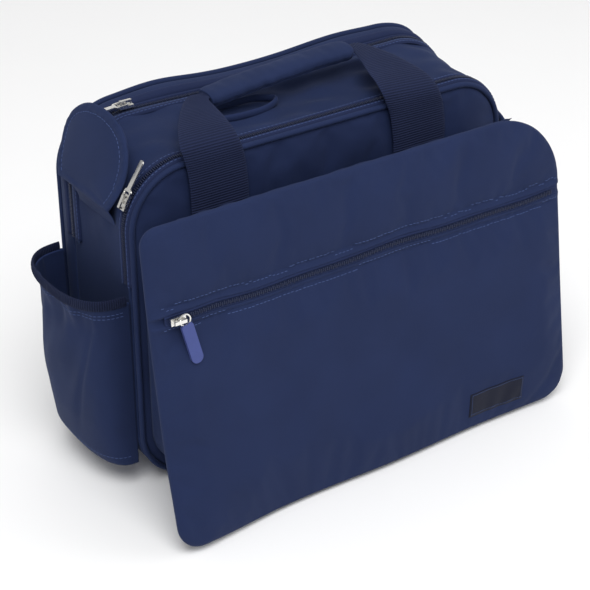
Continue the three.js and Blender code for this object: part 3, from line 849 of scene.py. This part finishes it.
def pocket_plan(side, z, turn, reach_change=0.0):
    """Points of a pocket's bulging wall; turn runs from the front seam to the back one."""
    middle, half = (POCKET_FRONT + POCKET_BACK) / 2, (POCKET_BACK - POCKET_FRONT) / 2
    across = np.clip(np.cos(turn), 0, 1) ** 0.62
    along = np.sign(np.sin(turn)) * np.abs(np.sin(turn)) ** 0.8
    reach = pocket_depth(z) + reach_change
    return np.stack([side * (HALF + 0.5 + reach * across), middle + half * along, z + 0 * turn], -1)


def pocket_wall(side):
    """Outer wall from the mouth down, turned under to a flat base."""
    turn = np.linspace(-math.pi / 2, math.pi / 2, 121)
    z = np.concatenate([[POCKET_RIM + 1], np.arange(POCKET_RIM - 2, 33, -4), [32, 29, 26.8, 25.4]])
    t, h = np.meshgrid(turn, z, indexing="ij")
    full = smooth((h - 28) / 70)
    sag = 2.0 * bump(h, 95, 45) - 2.2 * bump(h, 172, 14)
    fade = np.cos(t) ** 0.5
    gathers = 1.5 * ripple(21 + side, 11, t * 48, h * 0.12) * smooth((h - 148) / 45)
    folds = 2.4 * ripple(5 + side, 44, t * 50 + h * 0.35, h * 0.3) * full
    crease = -2.6 * bump(t * 60 + (h - 60) * 0.32, -14, 5) * full * smooth((190 - h) / 40)
    draped = pocket_plan(side, h, t, (sag + gathers + folds + crease) * fade)
    base = []
    for shrink in (0.94, 0.8, 0.55, 0.25, 0.0):
        ring = draped[:, -1].copy()
        ring[:, 0] = side * (HALF + 0.5) + (ring[:, 0] - side * (HALF + 0.5)) * shrink
        ring[:, 2] -= 0.6
        base.append(ring)
    points = np.concatenate([draped, np.stack(base, 1)], 1)
    rows = path_length(points[60])
    uv = np.stack(np.meshgrid(turn * 62, -rows, indexing="ij"), -1)
    return points, uv


def mirror(part, side):
    return flipped(part) if side > 0 else part


def build_pocket(label, side):
    points, uv = pocket_wall(side)
    wall = build(f"{label}_pocket_wall", [mirror(lattice(points, uv), side)], NAVY_SOFT, closed=False)
    refine(wall)
    surface = surface_of(wall)
    thicken(wall, 2.2)
    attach(wall, "bag_body")
    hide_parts(f"{label}_pocket")

    turn = np.linspace(-math.pi / 2 + 0.02, math.pi / 2 - 0.02, 400)
    path = pocket_plan(side, np.full(400, 193.4), turn, 0.4 * np.cos(turn))
    up = along_all([0.0, 0.0, 1.0], path)
    s = path_length(path)
    ribs = 1 + 0.16 * np.cos(2 * math.pi * s / 2.0)
    loop = round_section(1.0, 18)
    section = np.stack([loop[:, 0] * 5.0 + 0 * ribs[:, None], loop[:, 1] * 1.7 * ribs[:, None]], -1)
    band = build(f"{label}_pocket_edge", [sweep(path, up, section)], ELASTIC, "bag_body")
    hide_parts(f"{label}_pocket_binding")

    rows = []
    for z in (183.0, 179.6):
        rows.append(stitches(pocket_plan(side, np.full(90, z), np.linspace(-1.5, 1.5, 90)), surface))
    seam_turn = np.linspace(-1.45, 1.45, 80)
    rows.append(stitches(pocket_plan(side, np.full(80, 34.0), seam_turn), surface))
    thread = build(f"{label}_pocket_stitches", rows, THREAD, "bag_body", weld=0)


def bezier(a, b, c, d, count=20):
    t = np.linspace(0, 1, count, endpoint=False)[:, None]
    a, b, c, d = (np.array(p, float) for p in (a, b, c, d))
    return a * (1 - t) ** 3 + 3 * b * t * (1 - t) ** 2 + 3 * c * t * t * (1 - t) + d * t**3


def cover_outline():
    """The tongue's edge from the front of its root, across (depth) and along (up the tongue)."""
    top, mid, wide = COVER_LENGTH, COVER_MIDDLE, COVER_WIDEST
    root_a, root_b, a, b = COVER_ROOT_FRONT, COVER_ROOT_BACK, COVER_FRONT, COVER_BACK
    low, half, high = 0.2 * wide, 0.5 * wide, 0.78 * top
    return np.concatenate([
        np.stack([np.linspace(root_a, root_b, 20, endpoint=False), np.zeros(20)], 1),
        bezier((root_b, 0), (root_b + 5, low), (b, half), (b, wide)),
        bezier((b, wide), (b, high), (mid + 34, top), (mid, top), 30),
        bezier((mid, top), (mid - 34, top), (a, high), (a, wide), 30),
        bezier((a, wide), (a, half), (root_a - 5, low), (root_a, 0)),
    ])


def cover_frame(side, lean):
    angle = math.radians(lean)
    up = np.array([math.sin(angle), 0, math.cos(angle)])
    normal = np.cross([0, 1, 0], up)
    turn = np.stack([[0, 1, 0], up, normal], 1)
    return turn, np.array([side * COVER_HINGE[0], 0, COVER_HINGE[1]])


def cover_bow(across, along):
    """The tongue's soft curl, towards its back."""
    return 3.5 * ((across - COVER_MIDDLE) / 54) ** 2 + 2.5 * smooth((along - 38) / 38) ** 2


def cover_heights(edge, across, along, seed):
    groove = 0.55 * bump(edge, 8, 1.6)
    pucker = 0.35 * ripple(seed, 6, across, along) * bump(edge, 4, 5)
    return 2.3 * rolled(edge, 3.5) + 0.7 * smooth((edge - 9) / 12) - groove + pucker


def build_cover(label, side, lean, body, bow):
    loop = cover_outline()
    centre = np.array([COVER_MIDDLE, COVER_LENGTH / 2])
    inwards = [0, 0.012, 0.03, 0.055, 0.085, 0.115, 0.145, 0.18, 0.23, 0.3, 0.4, 0.52, 0.66, 0.82, 1]
    steps = 1 - np.array(inwards)
    flat = centre + (loop - centre)[:, None] * steps[None, :, None]
    edge = (1 - steps)[None] * np.linalg.norm(loop - centre, axis=1)[:, None]
    across, along = flat[..., 0], flat[..., 1]
    middle = 2.5 + bow * cover_bow(across, along) * smooth(along / 30)
    h = cover_heights(edge, across, along, 31 + side)
    uv = np.concatenate([flat, flat[:1]])
    near = lattice(np.stack([across, along, middle - h], -1), uv, closed_u=True)
    far = lattice(np.stack([across, along, middle + h], -1), uv, closed_u=True)
    turn, shift = cover_frame(side, lean)
    parts = [moved(near, turn, shift), moved(flipped(far), turn, shift)]
    cover = build(f"{label}_cover_tongue", parts, NAVY_SOFT)
    surface = surface_of(cover)
    refine(cover)
    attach(cover, body)
    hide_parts(f"{label}_pocket_cover")

    seam = centre + (loop[22:] - centre) * (1 - 8 / np.linalg.norm(loop[22:] - centre, axis=1))[:, None]
    seam = seam[seam[:, 1] > 6]
    rows = []
    for height in (-1.0, 6.0):
        line = np.stack([seam[:, 0], seam[:, 1], np.full(len(seam), height)], 1)
        line[:, 2] += bow * cover_bow(seam[:, 0], seam[:, 1])
        rows.append(stitches(line @ turn.T + shift, surface))
    thread = build(f"{label}_cover_stitches", rows, THREAD, body, weld=0)


def build_cover_root(label, side):
    """The cloth that turns from the gusset onto the cover's root."""
    profile = curve([(201.4, 258), (202.2, 262), (204.2, 267), (206.4, 271), (207.0, 274.5)], 0.6)
    edges = []
    for y in (-41.0, 21.0):
        edges.append(np.stack([side * profile[:, 0], np.full(len(profile), y), profile[:, 1]], 1))
    tape = build(f"{label}_cover_root", ribbon(*edges, 1.6, rib=0.0), NAVY_SOFT)
    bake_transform(tape)
    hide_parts(f"{label}_cover_seam_tape")


# ---------------------------------------------------------------- pocket under the flap

def carrier_front(z):
    """Depth of the pocket's slanting front face at a height."""
    slope = (CARRIER_DEPTH_BOTTOM - CARRIER_DEPTH_TOP) / (CARRIER_TOP - CARRIER_BOTTOM)
    return CARRIER_BACK - CARRIER_DEPTH_BOTTOM + slope * (z - CARRIER_BOTTOM)


def carrier_edge(grow=0.0, step=4.0):
    """The pocket's open U outline, from its top left down and round to its top right."""
    half, bottom, r = CARRIER_HALF + grow, CARRIER_BOTTOM - grow, 45.0 + grow
    arc = np.radians(np.linspace(180, 270, 20))
    left = np.stack([-half + r + r * np.cos(arc), bottom + r + r * np.sin(arc)], 1)
    right = left[::-1] * [-1, 1]
    return resample(np.concatenate([[[-half, CARRIER_TOP]], left, right, [[half, CARRIER_TOP]]]), step)


def build_carrier():
    edge = carrier_edge()
    t = np.linspace(0, 1, 15)
    n = unit(np.stack([-np.gradient(edge[:, 1]), np.gradient(edge[:, 0])], 1)) * -1
    front = carrier_front(edge[:, 1])[:, None] + 2
    y = CARRIER_BACK + (front - CARRIER_BACK) * t
    s = path_length(edge)
    out = -1.6 * np.sin(math.pi * t)[None] + 0.9 * ripple(8, 50, s[:, None], y) * np.sin(math.pi * t)[None]
    points = np.stack([edge[:, :1] + n[:, :1] * out, y, edge[:, 1:] + n[:, 1:] * out], -1)
    uv = np.stack([np.repeat(s[:, None], 15, 1), y], -1)
    sheet = build("front_pocket_gusset", [lattice(points, uv)], NAVY_SOFT, closed=False)
    thicken(sheet, 2.5, LINING)
    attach(sheet, "bag_body")

    path = carrier_edge(1.6)
    path = np.stack([path[:, 0], carrier_front(path[:, 1]) + 1.5, path[:, 1]], 1)
    side = along_all([0.0, 1.0, 0.0], path)
    cord = build("front_pocket_piping_cord", [sweep(path, side, round_section(2.3))], PIPING, "bag_body")
    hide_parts("front_pocket_piping")
    build_carrier_face()


def build_carrier_face():
    half = CARRIER_HALF - 0.4
    box_ = (-half, half, CARRIER_BOTTOM + 0.4, CARRIER_TOP - 2)

    def face(x, z, edge):
        return 2.4 * rolled(edge, 8) + 0.5 * ripple(14, 70, x, z) * rolled(edge, 30)

    parts = pad(box_, (2, 2, 45, 45), face, lambda x, z, edge: 1.6 * rolled(edge, 5), step=6.0)
    parts = [(v + carrier_front(v[:, 2:]) * [0, 1, 0] + [0, 2.8, 0], f, u) for v, f, u in parts]
    face_pad = build("front_pocket_face", parts, NAVY)
    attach(face_pad, "bag_body")
    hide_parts("front_pocket")
    rim_y, rim_z = carrier_front(CARRIER_TOP) + 3.0, CARRIER_TOP - 2.5
    rim = np.array([[x, rim_y, rim_z] for x in np.linspace(-half, half, 90)])
    side = along_all([0.0, 0.0, 1.0], rim)
    hem = build("front_pocket_hem", [sweep(rim, side, round_section(4.0, squeeze=0.45))], PIPING, "bag_body")


def build_flap_root():
    """The quilted strip that carries the flap."""
    lower, upper = np.array([-67.6, 244.5]), np.array([-113.6, 288.0])
    t = np.linspace(0, 1, 15)
    x = np.linspace(-184, 172, 90)
    gx, gt = np.meshgrid(x, t, indexing="ij")
    edge = np.minimum(np.minimum(gx + 184, 172 - gx), 62 * np.minimum(gt, 1 - gt))
    height = 1.9 * rolled(edge, 4) + 0.5 * ripple(9, 30, gx, gt * 64) * rolled(edge, 12)
    along = unit(upper - lower)
    normal = np.array([-along[1], along[0]])
    middle = lower + (upper - lower) * gt[..., None]
    parts = []
    for sign in (1, -1):
        spot = middle + sign * normal * height[..., None]
        grid = lattice(np.stack([gx, spot[..., 0], spot[..., 1]], -1), np.stack([gx, gt * 64], -1))
        parts.append(grid if sign > 0 else flipped(grid))
    strip = build("flap_root_strip", parts, NAVY)
    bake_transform(strip)
    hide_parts("flap_root_panel")


# ---------------------------------------------------------------- hanging flap

FLAP_HINGE = np.array(next(j["pos_m"] for j in frame["joints"] if j["name"] == "front_flap_hinge")) / MM
FLAP_COS, FLAP_SIN = math.cos(math.radians(-FLAP_TILT)), math.sin(math.radians(-FLAP_TILT))
FLAP_TURN = np.array([[1, 0, 0], [0, FLAP_COS, -FLAP_SIN], [0, FLAP_SIN, FLAP_COS]])


def flap_hang(x, z):
    """How far the hanging flap bends forwards (negative y) at a place on it."""
    low = smooth((-z - 60) / 237)
    waves = 1.3 * np.sin((x + 40) / 31) * smooth((-z - 210) / 80)
    corner = 6.0 * smooth((-x - 110) / 110) * smooth((-z - 190) / 107)
    belly = -2.2 * bump(x, 40, 120) * bump(z, -200, 60)
    return -(8.5 * low + waves + corner) - belly


def zip_wave(x, z):
    """The sewn zip line wanders a little up and down."""
    wander = 1.1 * np.sin(x / 37 + 1) + 0.6 * np.sin(x / 16)
    return wander * smooth((x + 185) / 30) * bump(z - FLAP_ZIP, 0, 26)


def to_flap(part):
    verts = part[0].copy()
    verts[:, 1] += flap_hang(verts[:, 0], verts[:, 2])
    verts[:, 2] += zip_wave(verts[:, 0], verts[:, 2])
    return moved((verts, part[1], part[2]), FLAP_TURN, FLAP_HINGE)


def on_flap(x, z, front):
    """World points for places on the flap, a distance in front of its back plane."""
    x, z = np.broadcast_arrays(np.asarray(x, float), np.asarray(z, float))
    points = np.stack([x, -front + flap_hang(x, z), z + zip_wave(x, z)], -1)
    return points @ FLAP_TURN.T + FLAP_HINGE


def flap_pad():
    middle = 9.0

    def front(x, z, edge):
        zip_line = np.abs(z - FLAP_ZIP)
        puff = 4.4 + 1.0 * smooth((zip_line - 8) / 30)
        height = puff * rolled(edge, 8) + 0.4 * ripple(4, 90, x, z) * rolled(edge, 40)
        upper_lip = 1.7 * bump(z - FLAP_ZIP, 5.6, 2.4) * rolled(edge, 14)
        lower_lip = 1.3 * bump(z - FLAP_ZIP, -5.6, 2.4) * rolled(edge, 14)
        trench = 1.8 * (1 - smooth((zip_line - 2.5) / 1.6)) * rolled(edge, 10)
        return height + upper_lip + lower_lip - trench + middle

    def back(x, z, edge):
        return 4.8 * rolled(edge, 7) - middle

    return pad(FLAP_BOX, FLAP_RADII, front, back, step=4.2, rows=(FLAP_ZIP,))


def flap_held(points):
    """Which of the flap's points are sewn down: its rim, its back and the zip's edges."""
    local = (points - FLAP_HINGE) @ FLAP_TURN
    x, z = local[:, 0], local[:, 2]
    front = local[:, 1] - flap_hang(x, z) < -9.3
    edge = round_corners(x, z, FLAP_BOX, (0, 0, 0, 0))[2]
    zip_line = np.abs(z - FLAP_ZIP)
    held = np.where(front, 0.0, 1.0)
    held = np.where(zip_line < 9.5, 1.0, held)
    return np.where(edge < 2.0, 1.0, held)


def build_flap_pad():
    obj = build("front_flap_pad", [to_flap(p) for p in flap_pad()], NAVY)
    return obj, flap_held(points_of(obj)), 6.0


def press_rows(obj, rows, depth=0.7, width=1.5):
    """Presses sewn lines into the flap; rows are heights on the flap."""
    points = points_of(obj)
    local = (points - FLAP_HINGE) @ FLAP_TURN
    front = local[:, 1] < -9.3 + flap_hang(local[:, 0], local[:, 2])
    inside = smooth((FLAP_RIGHT - 6 - np.abs(local[:, 0])) / 6)
    for row in rows:
        dip = bump(local[:, 2], row, width) * (1 + 0.5 * ripple(int(-row), 9, local[:, 0]))
        local[:, 1] += np.where(front, depth * dip * inside, 0)
    set_points(obj, local @ FLAP_TURN.T + FLAP_HINGE)


def finish_flap(obj):
    refine(obj)
    seam_rows = (FLAP_ZIP + 11, FLAP_ZIP - 9.5)
    press_rows(obj, seam_rows)
    surface = surface_of(obj)
    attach(obj, "front_flap")
    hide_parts("front_flap")
    rows = []
    for z in seam_rows:
        rows.append(stitches(on_flap(np.linspace(-212, 212, 100), z, 18), surface))
    thread = build("flap_stitches", rows, THREAD, "front_flap", weld=0)
    build_flap_zip()
    build_label(surface)


def build_flap_zip():
    x = np.linspace(-212, 212, 213)
    offsets = np.array([-4.4, -4.0, -2.6, -2.2, 2.2, 2.6, 4.0, 4.4])
    height = np.array([13.4, 14.5, 15.0, 14.6, 14.6, 15.0, 14.5, 13.4])
    gx, gz = np.meshgrid(x, FLAP_ZIP + offsets, indexing="ij")
    top = on_flap(gx, gz, np.repeat(height[None], len(x), 0))
    under = on_flap(gx, gz, np.full(gx.shape, 12.8))
    parts = band_parts(top, under, np.stack([gx, gz], -1))
    tape = build("flap_zip_tapes", parts, TAPE, "front_flap")
    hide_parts("flap_zip_tape")

    path = on_flap(x[3:-3], FLAP_ZIP, 16.1)
    up = along_all(-FLAP_TURN[:, 1], path)
    across = along_all(FLAP_TURN[:, 2], path)
    part = teeth(path, across, up, width=3.8, height=1.4)
    made = build("flap_zip_teeth", [part], COIL, "front_flap", weld=0)
    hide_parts("flap_zip_coil")


def build_label(surface):
    """Blank woven label, sewn on all round."""
    x0, x1, z0, z1 = 96.0, 159.0, -283.0, -257.0
    xs, zs = np.linspace(x0, x1, 43), np.linspace(z0, z1, 19)
    gx, gz = np.meshgrid(xs, zs, indexing="ij")
    probe = on_flap(gx, gz, 30.0)
    out = -FLAP_TURN[:, 1]
    spots = np.zeros_like(probe)
    for i in range(probe.shape[0]):
        for j in range(probe.shape[1]):
            hit = surface.ray_cast(Vector(probe[i, j]), Vector(-out))[0]
            spots[i, j] = probe[i, j] if hit is None else np.array(hit)
    edge = np.minimum(np.minimum(gx - x0, x1 - gx), np.minimum(gz - z0, z1 - gz))
    lift = 0.25 + 0.55 * rolled(edge, 1.6)
    top = spots + out * lift[..., None]
    under = spots - out * 0.2
    uv = np.stack([gx, gz], -1)
    rims = [np.stack([top[0], under[0]]), np.stack([top[-1], under[-1]]),
            np.stack([top[:, 0], under[:, 0]]), np.stack([top[:, -1], under[:, -1]])]
    parts = [lattice(top, uv), flipped(lattice(under, uv))]
    for rim in rims:
        parts.append(lattice(rim, np.zeros(rim.shape[:2] + (2,))))
    label = build("blank_label", parts, LABEL)
    sewn = surface_of(label)
    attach(label, "front_flap")
    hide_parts("flap_label")
    inset = 1.5
    corners = [(x0 + inset, z0 + inset), (x1 - inset, z0 + inset), (x1 - inset, z1 - inset),
               (x0 + inset, z1 - inset), (x0 + inset, z0 + inset)]
    line = resample(np.array(corners), 1.0)
    row = stitches(on_flap(line[:, 0], line[:, 1], 24.0), sewn, length=1.6, pitch=2.4, width=0.45)
    thread = build("label_stitches", [row], THREAD, "front_flap", weld=0)


# ---------------------------------------------------------------- handles and loop

def curve_like(a, b):
    both = curve(np.concatenate([a, b], 1), 1.5)
    return both[:, :3], both[:, 3:]


def build_strap(name, side, path_a, path_b, blend_from, start, end, body):
    a, b = curve_like(path_a, path_b)
    parts = ribbon(a, b, 2.4)
    strap = build(name, parts if side > 0 else [flipped(p) for p in parts], WEBBING)
    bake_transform(strap)
    return strap


FRONT_STRAP_EDGES = {  # inner and outer edge, from the panel over the top into the grip
    -1: ([(-84.5, -67.8, 256), (-84.8, -67.8, 275), (-87.5, -68, 298), (-92, -69.5, 314),
          (-94.5, -66, 323), (-95, -57, 329), (-94, -44, 332.5), (-92, -28, 334),
          (-88, -12, 333.5), (-80, -6, 332.5), (-66, -4, 332.5)],
         [(-142.5, -67.8, 256), (-142.5, -67.8, 275), (-144.5, -68, 298), (-149, -69.5, 315),
          (-151.5, -68.5, 325), (-148, -60, 331.5), (-138, -44, 335), (-122, -22, 336.5),
          (-104, -2, 335.5), (-92, 4, 333), (-68, 6, 333)]),
    1: ([(72, -67.8, 256), (71, -67.8, 275), (67, -68, 298), (60, -69.5, 315),
         (56, -68, 325), (56, -60, 331.5), (59, -44, 335.5), (65, -25, 338.5),
         (70, -6, 340.5), (66, -4, 340.5), (52, -4, 340)],
        [(131, -67.8, 256), (131, -67.8, 275), (128, -68, 296), (122, -69, 311),
         (119, -65, 319), (116, -55, 325.5), (110, -40, 331), (101, -20, 336.5),
         (88, 5, 340), (76, 8, 340.5), (54, 7, 340)]),
}


def front_strap_paths(side):
    return [np.array(line, float) for line in FRONT_STRAP_EDGES[side]]


def rear_strap_paths(side):
    rows = [(77, 135, 67.6, 270), (77, 135, 67.6, 290), (77, 135, 67.7, 310), (77, 135, 69.6, 319.5),
            (77, 134, 73.4, 315), (77, 130, 76.4, 296), (77, 119, 78, 272), (77.5, 105, 79, 252),
            (76, 95, 79, 238), (60, 64, 79, 236)]
    return [np.array([(side * row[k], *row[2:]) for row in rows], float) for k in (0, 1)]


def grip_wrap(name, body, shift, y, z, wide, tall, rise):
    """Padded wrap with an overlapped, topstitched edge; rise gives its arch along x."""
    tips = np.array([GRIP_HALF - 0.8, GRIP_HALF])
    x = np.concatenate([-tips[::-1], np.arange(-74, 74.5, 2.5), tips])
    path = np.stack([x + shift, np.full(len(x), y), z + rise(x)], 1)
    turn = np.linspace(0, 2 * math.pi, 72, endpoint=False)
    end = smooth((GRIP_HALF - np.abs(x)) / 5)
    size = 0.86 + 0.14 * end + 0.02 * ripple(17, 40, x)
    lap_angle = 3.9
    past = np.mod(turn - lap_angle, 2 * math.pi)
    lap = 1.3 * np.exp(-past / 1.1) * (past > 0)
    c, s = np.cos(turn), np.sin(turn)
    across = np.sign(c) * np.abs(c) ** 0.85
    up = np.sign(s) * np.abs(s) ** 0.85
    wrinkle = 0.35 * ripple(23, 14, x[:, None], turn[None] * 9)
    grow = lap[None] + wrinkle * end[:, None]
    section = np.stack([
        (wide / 2 * across)[None] * size[:, None] + grow * c[None],
        (tall / 2 * up)[None] * size[:, None] + grow * s[None],
    ], -1)
    side = along_all([0.0, 1.0, 0.0], x)
    wrap = build(f"{name}_grip_cover", [sweep(path, side, section)], NAVY_SOFT)
    surface = surface_of(wrap)
    refine(wrap)
    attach(wrap, body)
    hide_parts(f"{name}_grip_wrap", f"{name}_grip_core")
    angle = lap_angle + 0.42
    line_y = y + (wide / 2 + 4) * math.cos(angle)
    line_z = z + (tall / 2 + 4) * math.sin(angle)
    inner = x[2:-2]
    line = np.stack([inner + shift, np.full(len(inner), line_y), line_z + rise(inner)], 1)
    row = stitches(line, surface)
    thread = build(f"{name}_grip_stitches", [row], THREAD, body, weld=0)


def front_rise(x):
    """The front grip climbs to the right and arches a little."""
    return 2.5 + 5.5 * x / GRIP_HALF - 2.0 * (x / GRIP_HALF) ** 2


def build_handles():
    for label, side in (("left", -1), ("right", 1)):
        strap = build_strap(
            f"front_handle_strap_{label}", side, *front_strap_paths(side), "bag_body",
            (0, -0.0686, 0.300), (0, -0.0686, 0.322), "front_handle")
        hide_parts(f"front_strap_{label}", f"front_strap_base_{label}")
        strap = build_strap(
            f"rear_handle_strap_{label}", side, *rear_strap_paths(side), "rear_lid",
            (0, 0.0680, 0.3145), (0, 0.0732, 0.3145), "rear_handle")
        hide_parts(f"rear_strap_{label}", f"rear_strap_base_{label}")
    grip_wrap("front", "front_handle", FRONT_SHIFT, FRONT_GRIP_Y, FRONT_GRIP_Z, 27, 14, front_rise)
    grip_wrap("rear", "rear_handle", 0, REAR_GRIP_Y, REAR_GRIP_Z, 15, 28, lambda x: 0 * x)


def build_loop():
    plan = curve([(-88, -15, 2.4), (-62, -18, 3.0), (-32, -16, 3.8), (-14, -5, 4.4), (-30, 6, 4.2),
                  (-60, 6, 3.2), (-88, 2, 2.6)], 1.5)
    plan[:, 2] += top_height(plan[:, 0], plan[:, 1])
    turn = np.linspace(0, 2 * math.pi, 16, endpoint=False)
    section = np.stack([3.4 * np.cos(turn), 2.0 * np.sin(turn)], 1)
    side = along_all([0.0, 0.0, 1.0], plan)
    loop = build("hanging_loop_strip", [sweep(plan, side, section)], NAVY, "bag_body")
    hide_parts("hanging_loop")
    a = np.array([(-103, -21, 1.6), (-96, -21, 2.8), (-86, -21, 3.2)], float)
    b = a * [1, 0, 1] + [0, 7, 0]
    for edge in (a, b):
        edge[:, 2] += top_height(edge[:, 0], edge[:, 1])
    tab = build("loop_tab", ribbon(*curve_like(a, b), 3.6), WEBBING, "bag_body")
    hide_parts("loop_anchor_tab")


def top_height(x, y):
    """Height of the soft top at a place between its corners."""
    return (HEIGHT + swell(x, HEIGHT, y)) * height_scale(y)


# ---------------------------------------------------------------- inside

def build_interior():
    inset = 7.5
    box_ = (-HALF + inset, HALF - inset, inset, HEIGHT - inset)
    r = CORNER - inset

    def sheet(x, z, edge):
        return 1.8 * rolled(edge, 4) + 0.3 * ripple(6, 60, x, z) * rolled(edge, 20)

    parts = shifted(pad(box_, (r, r, r, r), sheet, sheet, step=8.0), -28)
    divider = build("divider", parts, LINING, "bag_body")
    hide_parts("divider_panel")
    low, high = (np.array(v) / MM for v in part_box("inner_slip_pocket"))
    bag_box = (low[0], high[0], low[2], high[2])

    def bulge(x, z, edge):
        return 0.8 * rolled(edge, 3)

    def outer(x, z, edge):
        return 1 + 8.0 * rolled(edge, 22) * smooth((high[2] - z) / 8 + 0.6)

    parts = shifted(pad(bag_box, (3, 3, 12, 12), bulge, outer, step=8.0), low[1] + 1.0)
    slip = build("slip_pocket", parts, LINING, "bag_body")
    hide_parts("inner_slip_pocket")


def shifted(parts, y):
    return [(v + [0, y, 0], f, u) for v, f, u in parts]


# ---------------------------------------------------------------- carried-over CAD nodes

def dress_cad(name, material, bevel=0.35):
    obj = frame["nodes"][name]
    obj.data.materials.clear()
    obj.data.materials.append(material)
    edge = obj.modifiers.new("Edges", "BEVEL")
    edge.width = bevel * MM
    edge.segments = 2
    edge.limit_method = "ANGLE"
    edge.angle_limit = math.radians(40)
    edge.harden_normals = False


def dress_hardware():
    for name in ("front_zip_slider", "front_zip_puller", "rear_zip_slider", "rear_zip_puller",
                 "flap_zip_slider", "flap_pull_ring"):
        dress_cad(name, STEEL, 0.25)
    dress_cad("flap_pull_tab", RUBBER, 0.7)
    dress_cad("base_board", BOARD, 0.6)


# ---------------------------------------------------------------- camera, light and floor

CAMERA_PLACE = (-0.78276, -1.14357, 0.90269)
CAMERA_AIM = (0.49400, 0.71208, -0.49890)  # direction of view
CAMERA_LENS = 101.6


def add_camera():
    data = bpy.data.cameras.new("camera")
    data.lens = CAMERA_LENS
    data.sensor_width = 36
    data.clip_end = 50
    camera = bpy.data.objects.new("camera", data)
    camera.location = CAMERA_PLACE
    camera.rotation_mode = "QUATERNION"
    camera.rotation_quaternion = Vector(CAMERA_AIM).to_track_quat("-Z", "Y")
    bpy.context.scene.collection.objects.link(camera)
    bpy.context.scene.camera = camera


def add_area(name, location, target, size, power):
    data = bpy.data.lights.new(name, "AREA")
    data.shape = "DISK"
    data.size = size
    data.energy = power
    lamp = bpy.data.objects.new(name, data)
    lamp.location = location
    aim = Vector(target) - Vector(location)
    lamp.rotation_mode = "QUATERNION"
    lamp.rotation_quaternion = aim.to_track_quat("-Z", "Y")
    bpy.context.scene.collection.objects.link(lamp)


def add_lights():
    middle = (0, 0, 0.15)
    add_area("key", (-0.8, -1.3, 2.6), middle, 2.0, 60)
    add_area("fill", (1.9, -1.4, 1.2), middle, 1.8, 10)
    add_area("back", (0.6, 1.6, 2.2), middle, 1.6, 4)
    world = bpy.data.worlds.new("studio")
    world.use_nodes = True
    sky = world.node_tree.nodes["Background"]
    sky.inputs["Color"].default_value = (1, 1, 1, 1)
    sky.inputs["Strength"].default_value = 0.55
    bpy.context.scene.world = world


def add_floor():
    size = 6000.0
    x, y = np.meshgrid(np.linspace(-size, size, 9), np.linspace(-size, size, 9), indexing="ij")
    points = np.stack([x, y, 0 * x - 0.4], -1)
    mat, tree, shader = start_material("floor_paper", 0.9)
    where = node(tree, "ShaderNodeTexCoord").outputs["Object"]
    tree.links.new(varied_color(tree, (0.96, 0.96, 0.962), where, 0.004, 8.0), shader.inputs["Base Color"])
    floor = build("floor", [lattice(points, np.stack([x, y], -1))], mat, closed=False)


# ---------------------------------------------------------------- the whole bag

def panel_held(points, y_mid, outward, clear):
    """The panel's rim, its inner face and what is sewn over it are held."""
    x, y, z = points.T
    edge = np.minimum(np.minimum(x + HALF, HALF - x), np.minimum(z, HEIGHT - z)) - PANEL_INSET
    inner = (y - y_mid) * outward < 0.6
    held = np.where(inner | (edge < 2), 1.0, 0.0)
    return np.where(clear(x, z), held, 1.0)


def build_body_panels():
    front = body_panel("front_body_panel", -PANEL_Y, -1, 3.6, NAVY, 12)
    rear = body_panel("rear_body_panel", PANEL_Y, 1, 3.4, NAVY, 13)

    def open_front(x, z):
        strap = (np.abs(x - FRONT_SHIFT) > 74) & (np.abs(x - FRONT_SHIFT) < 138)
        return (z > 252) & ~strap

    def open_rear(x, z):
        strap = (np.abs(x) > 74) & (np.abs(x) < 138) & (z > 262)
        return ~strap

    return [
        (front, panel_held(points_of(front), -PANEL_Y, -1, open_front), 4.0),
        (rear, panel_held(points_of(rear), PANEL_Y, 1, open_rear), 5.0),
    ]


def finish_panels(front, rear):
    for obj in (front, rear):
        refine(obj)
    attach(front, "bag_body")
    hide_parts("front_panel")
    lid_blend(rear)
    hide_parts("rear_lower_panel", "rear_lid_panel")


build_gusset()
build_rear_gusset()
build_pipings()
build_top_zips()
build_lid_tape()
panels = build_body_panels()
flap = build_flap_pad()
inflate([*panels, flap])
finish_panels(panels[0][0], panels[1][0])
finish_flap(flap[0])
for pocket_label, pocket_side in (("left", -1), ("right", 1)):
    build_pocket(pocket_label, pocket_side)
    build_cover_root(pocket_label, pocket_side)
build_cover("left", -1, 18, "left_cover", 1)
build_cover("right", 1, 150, "right_cover", -0.6)
build_carrier()
build_flap_root()
build_handles()
build_loop()
build_interior()
dress_hardware()
add_floor()
add_lights()
add_camera()
bpy.context.scene.view_settings.view_transform = "Standard"
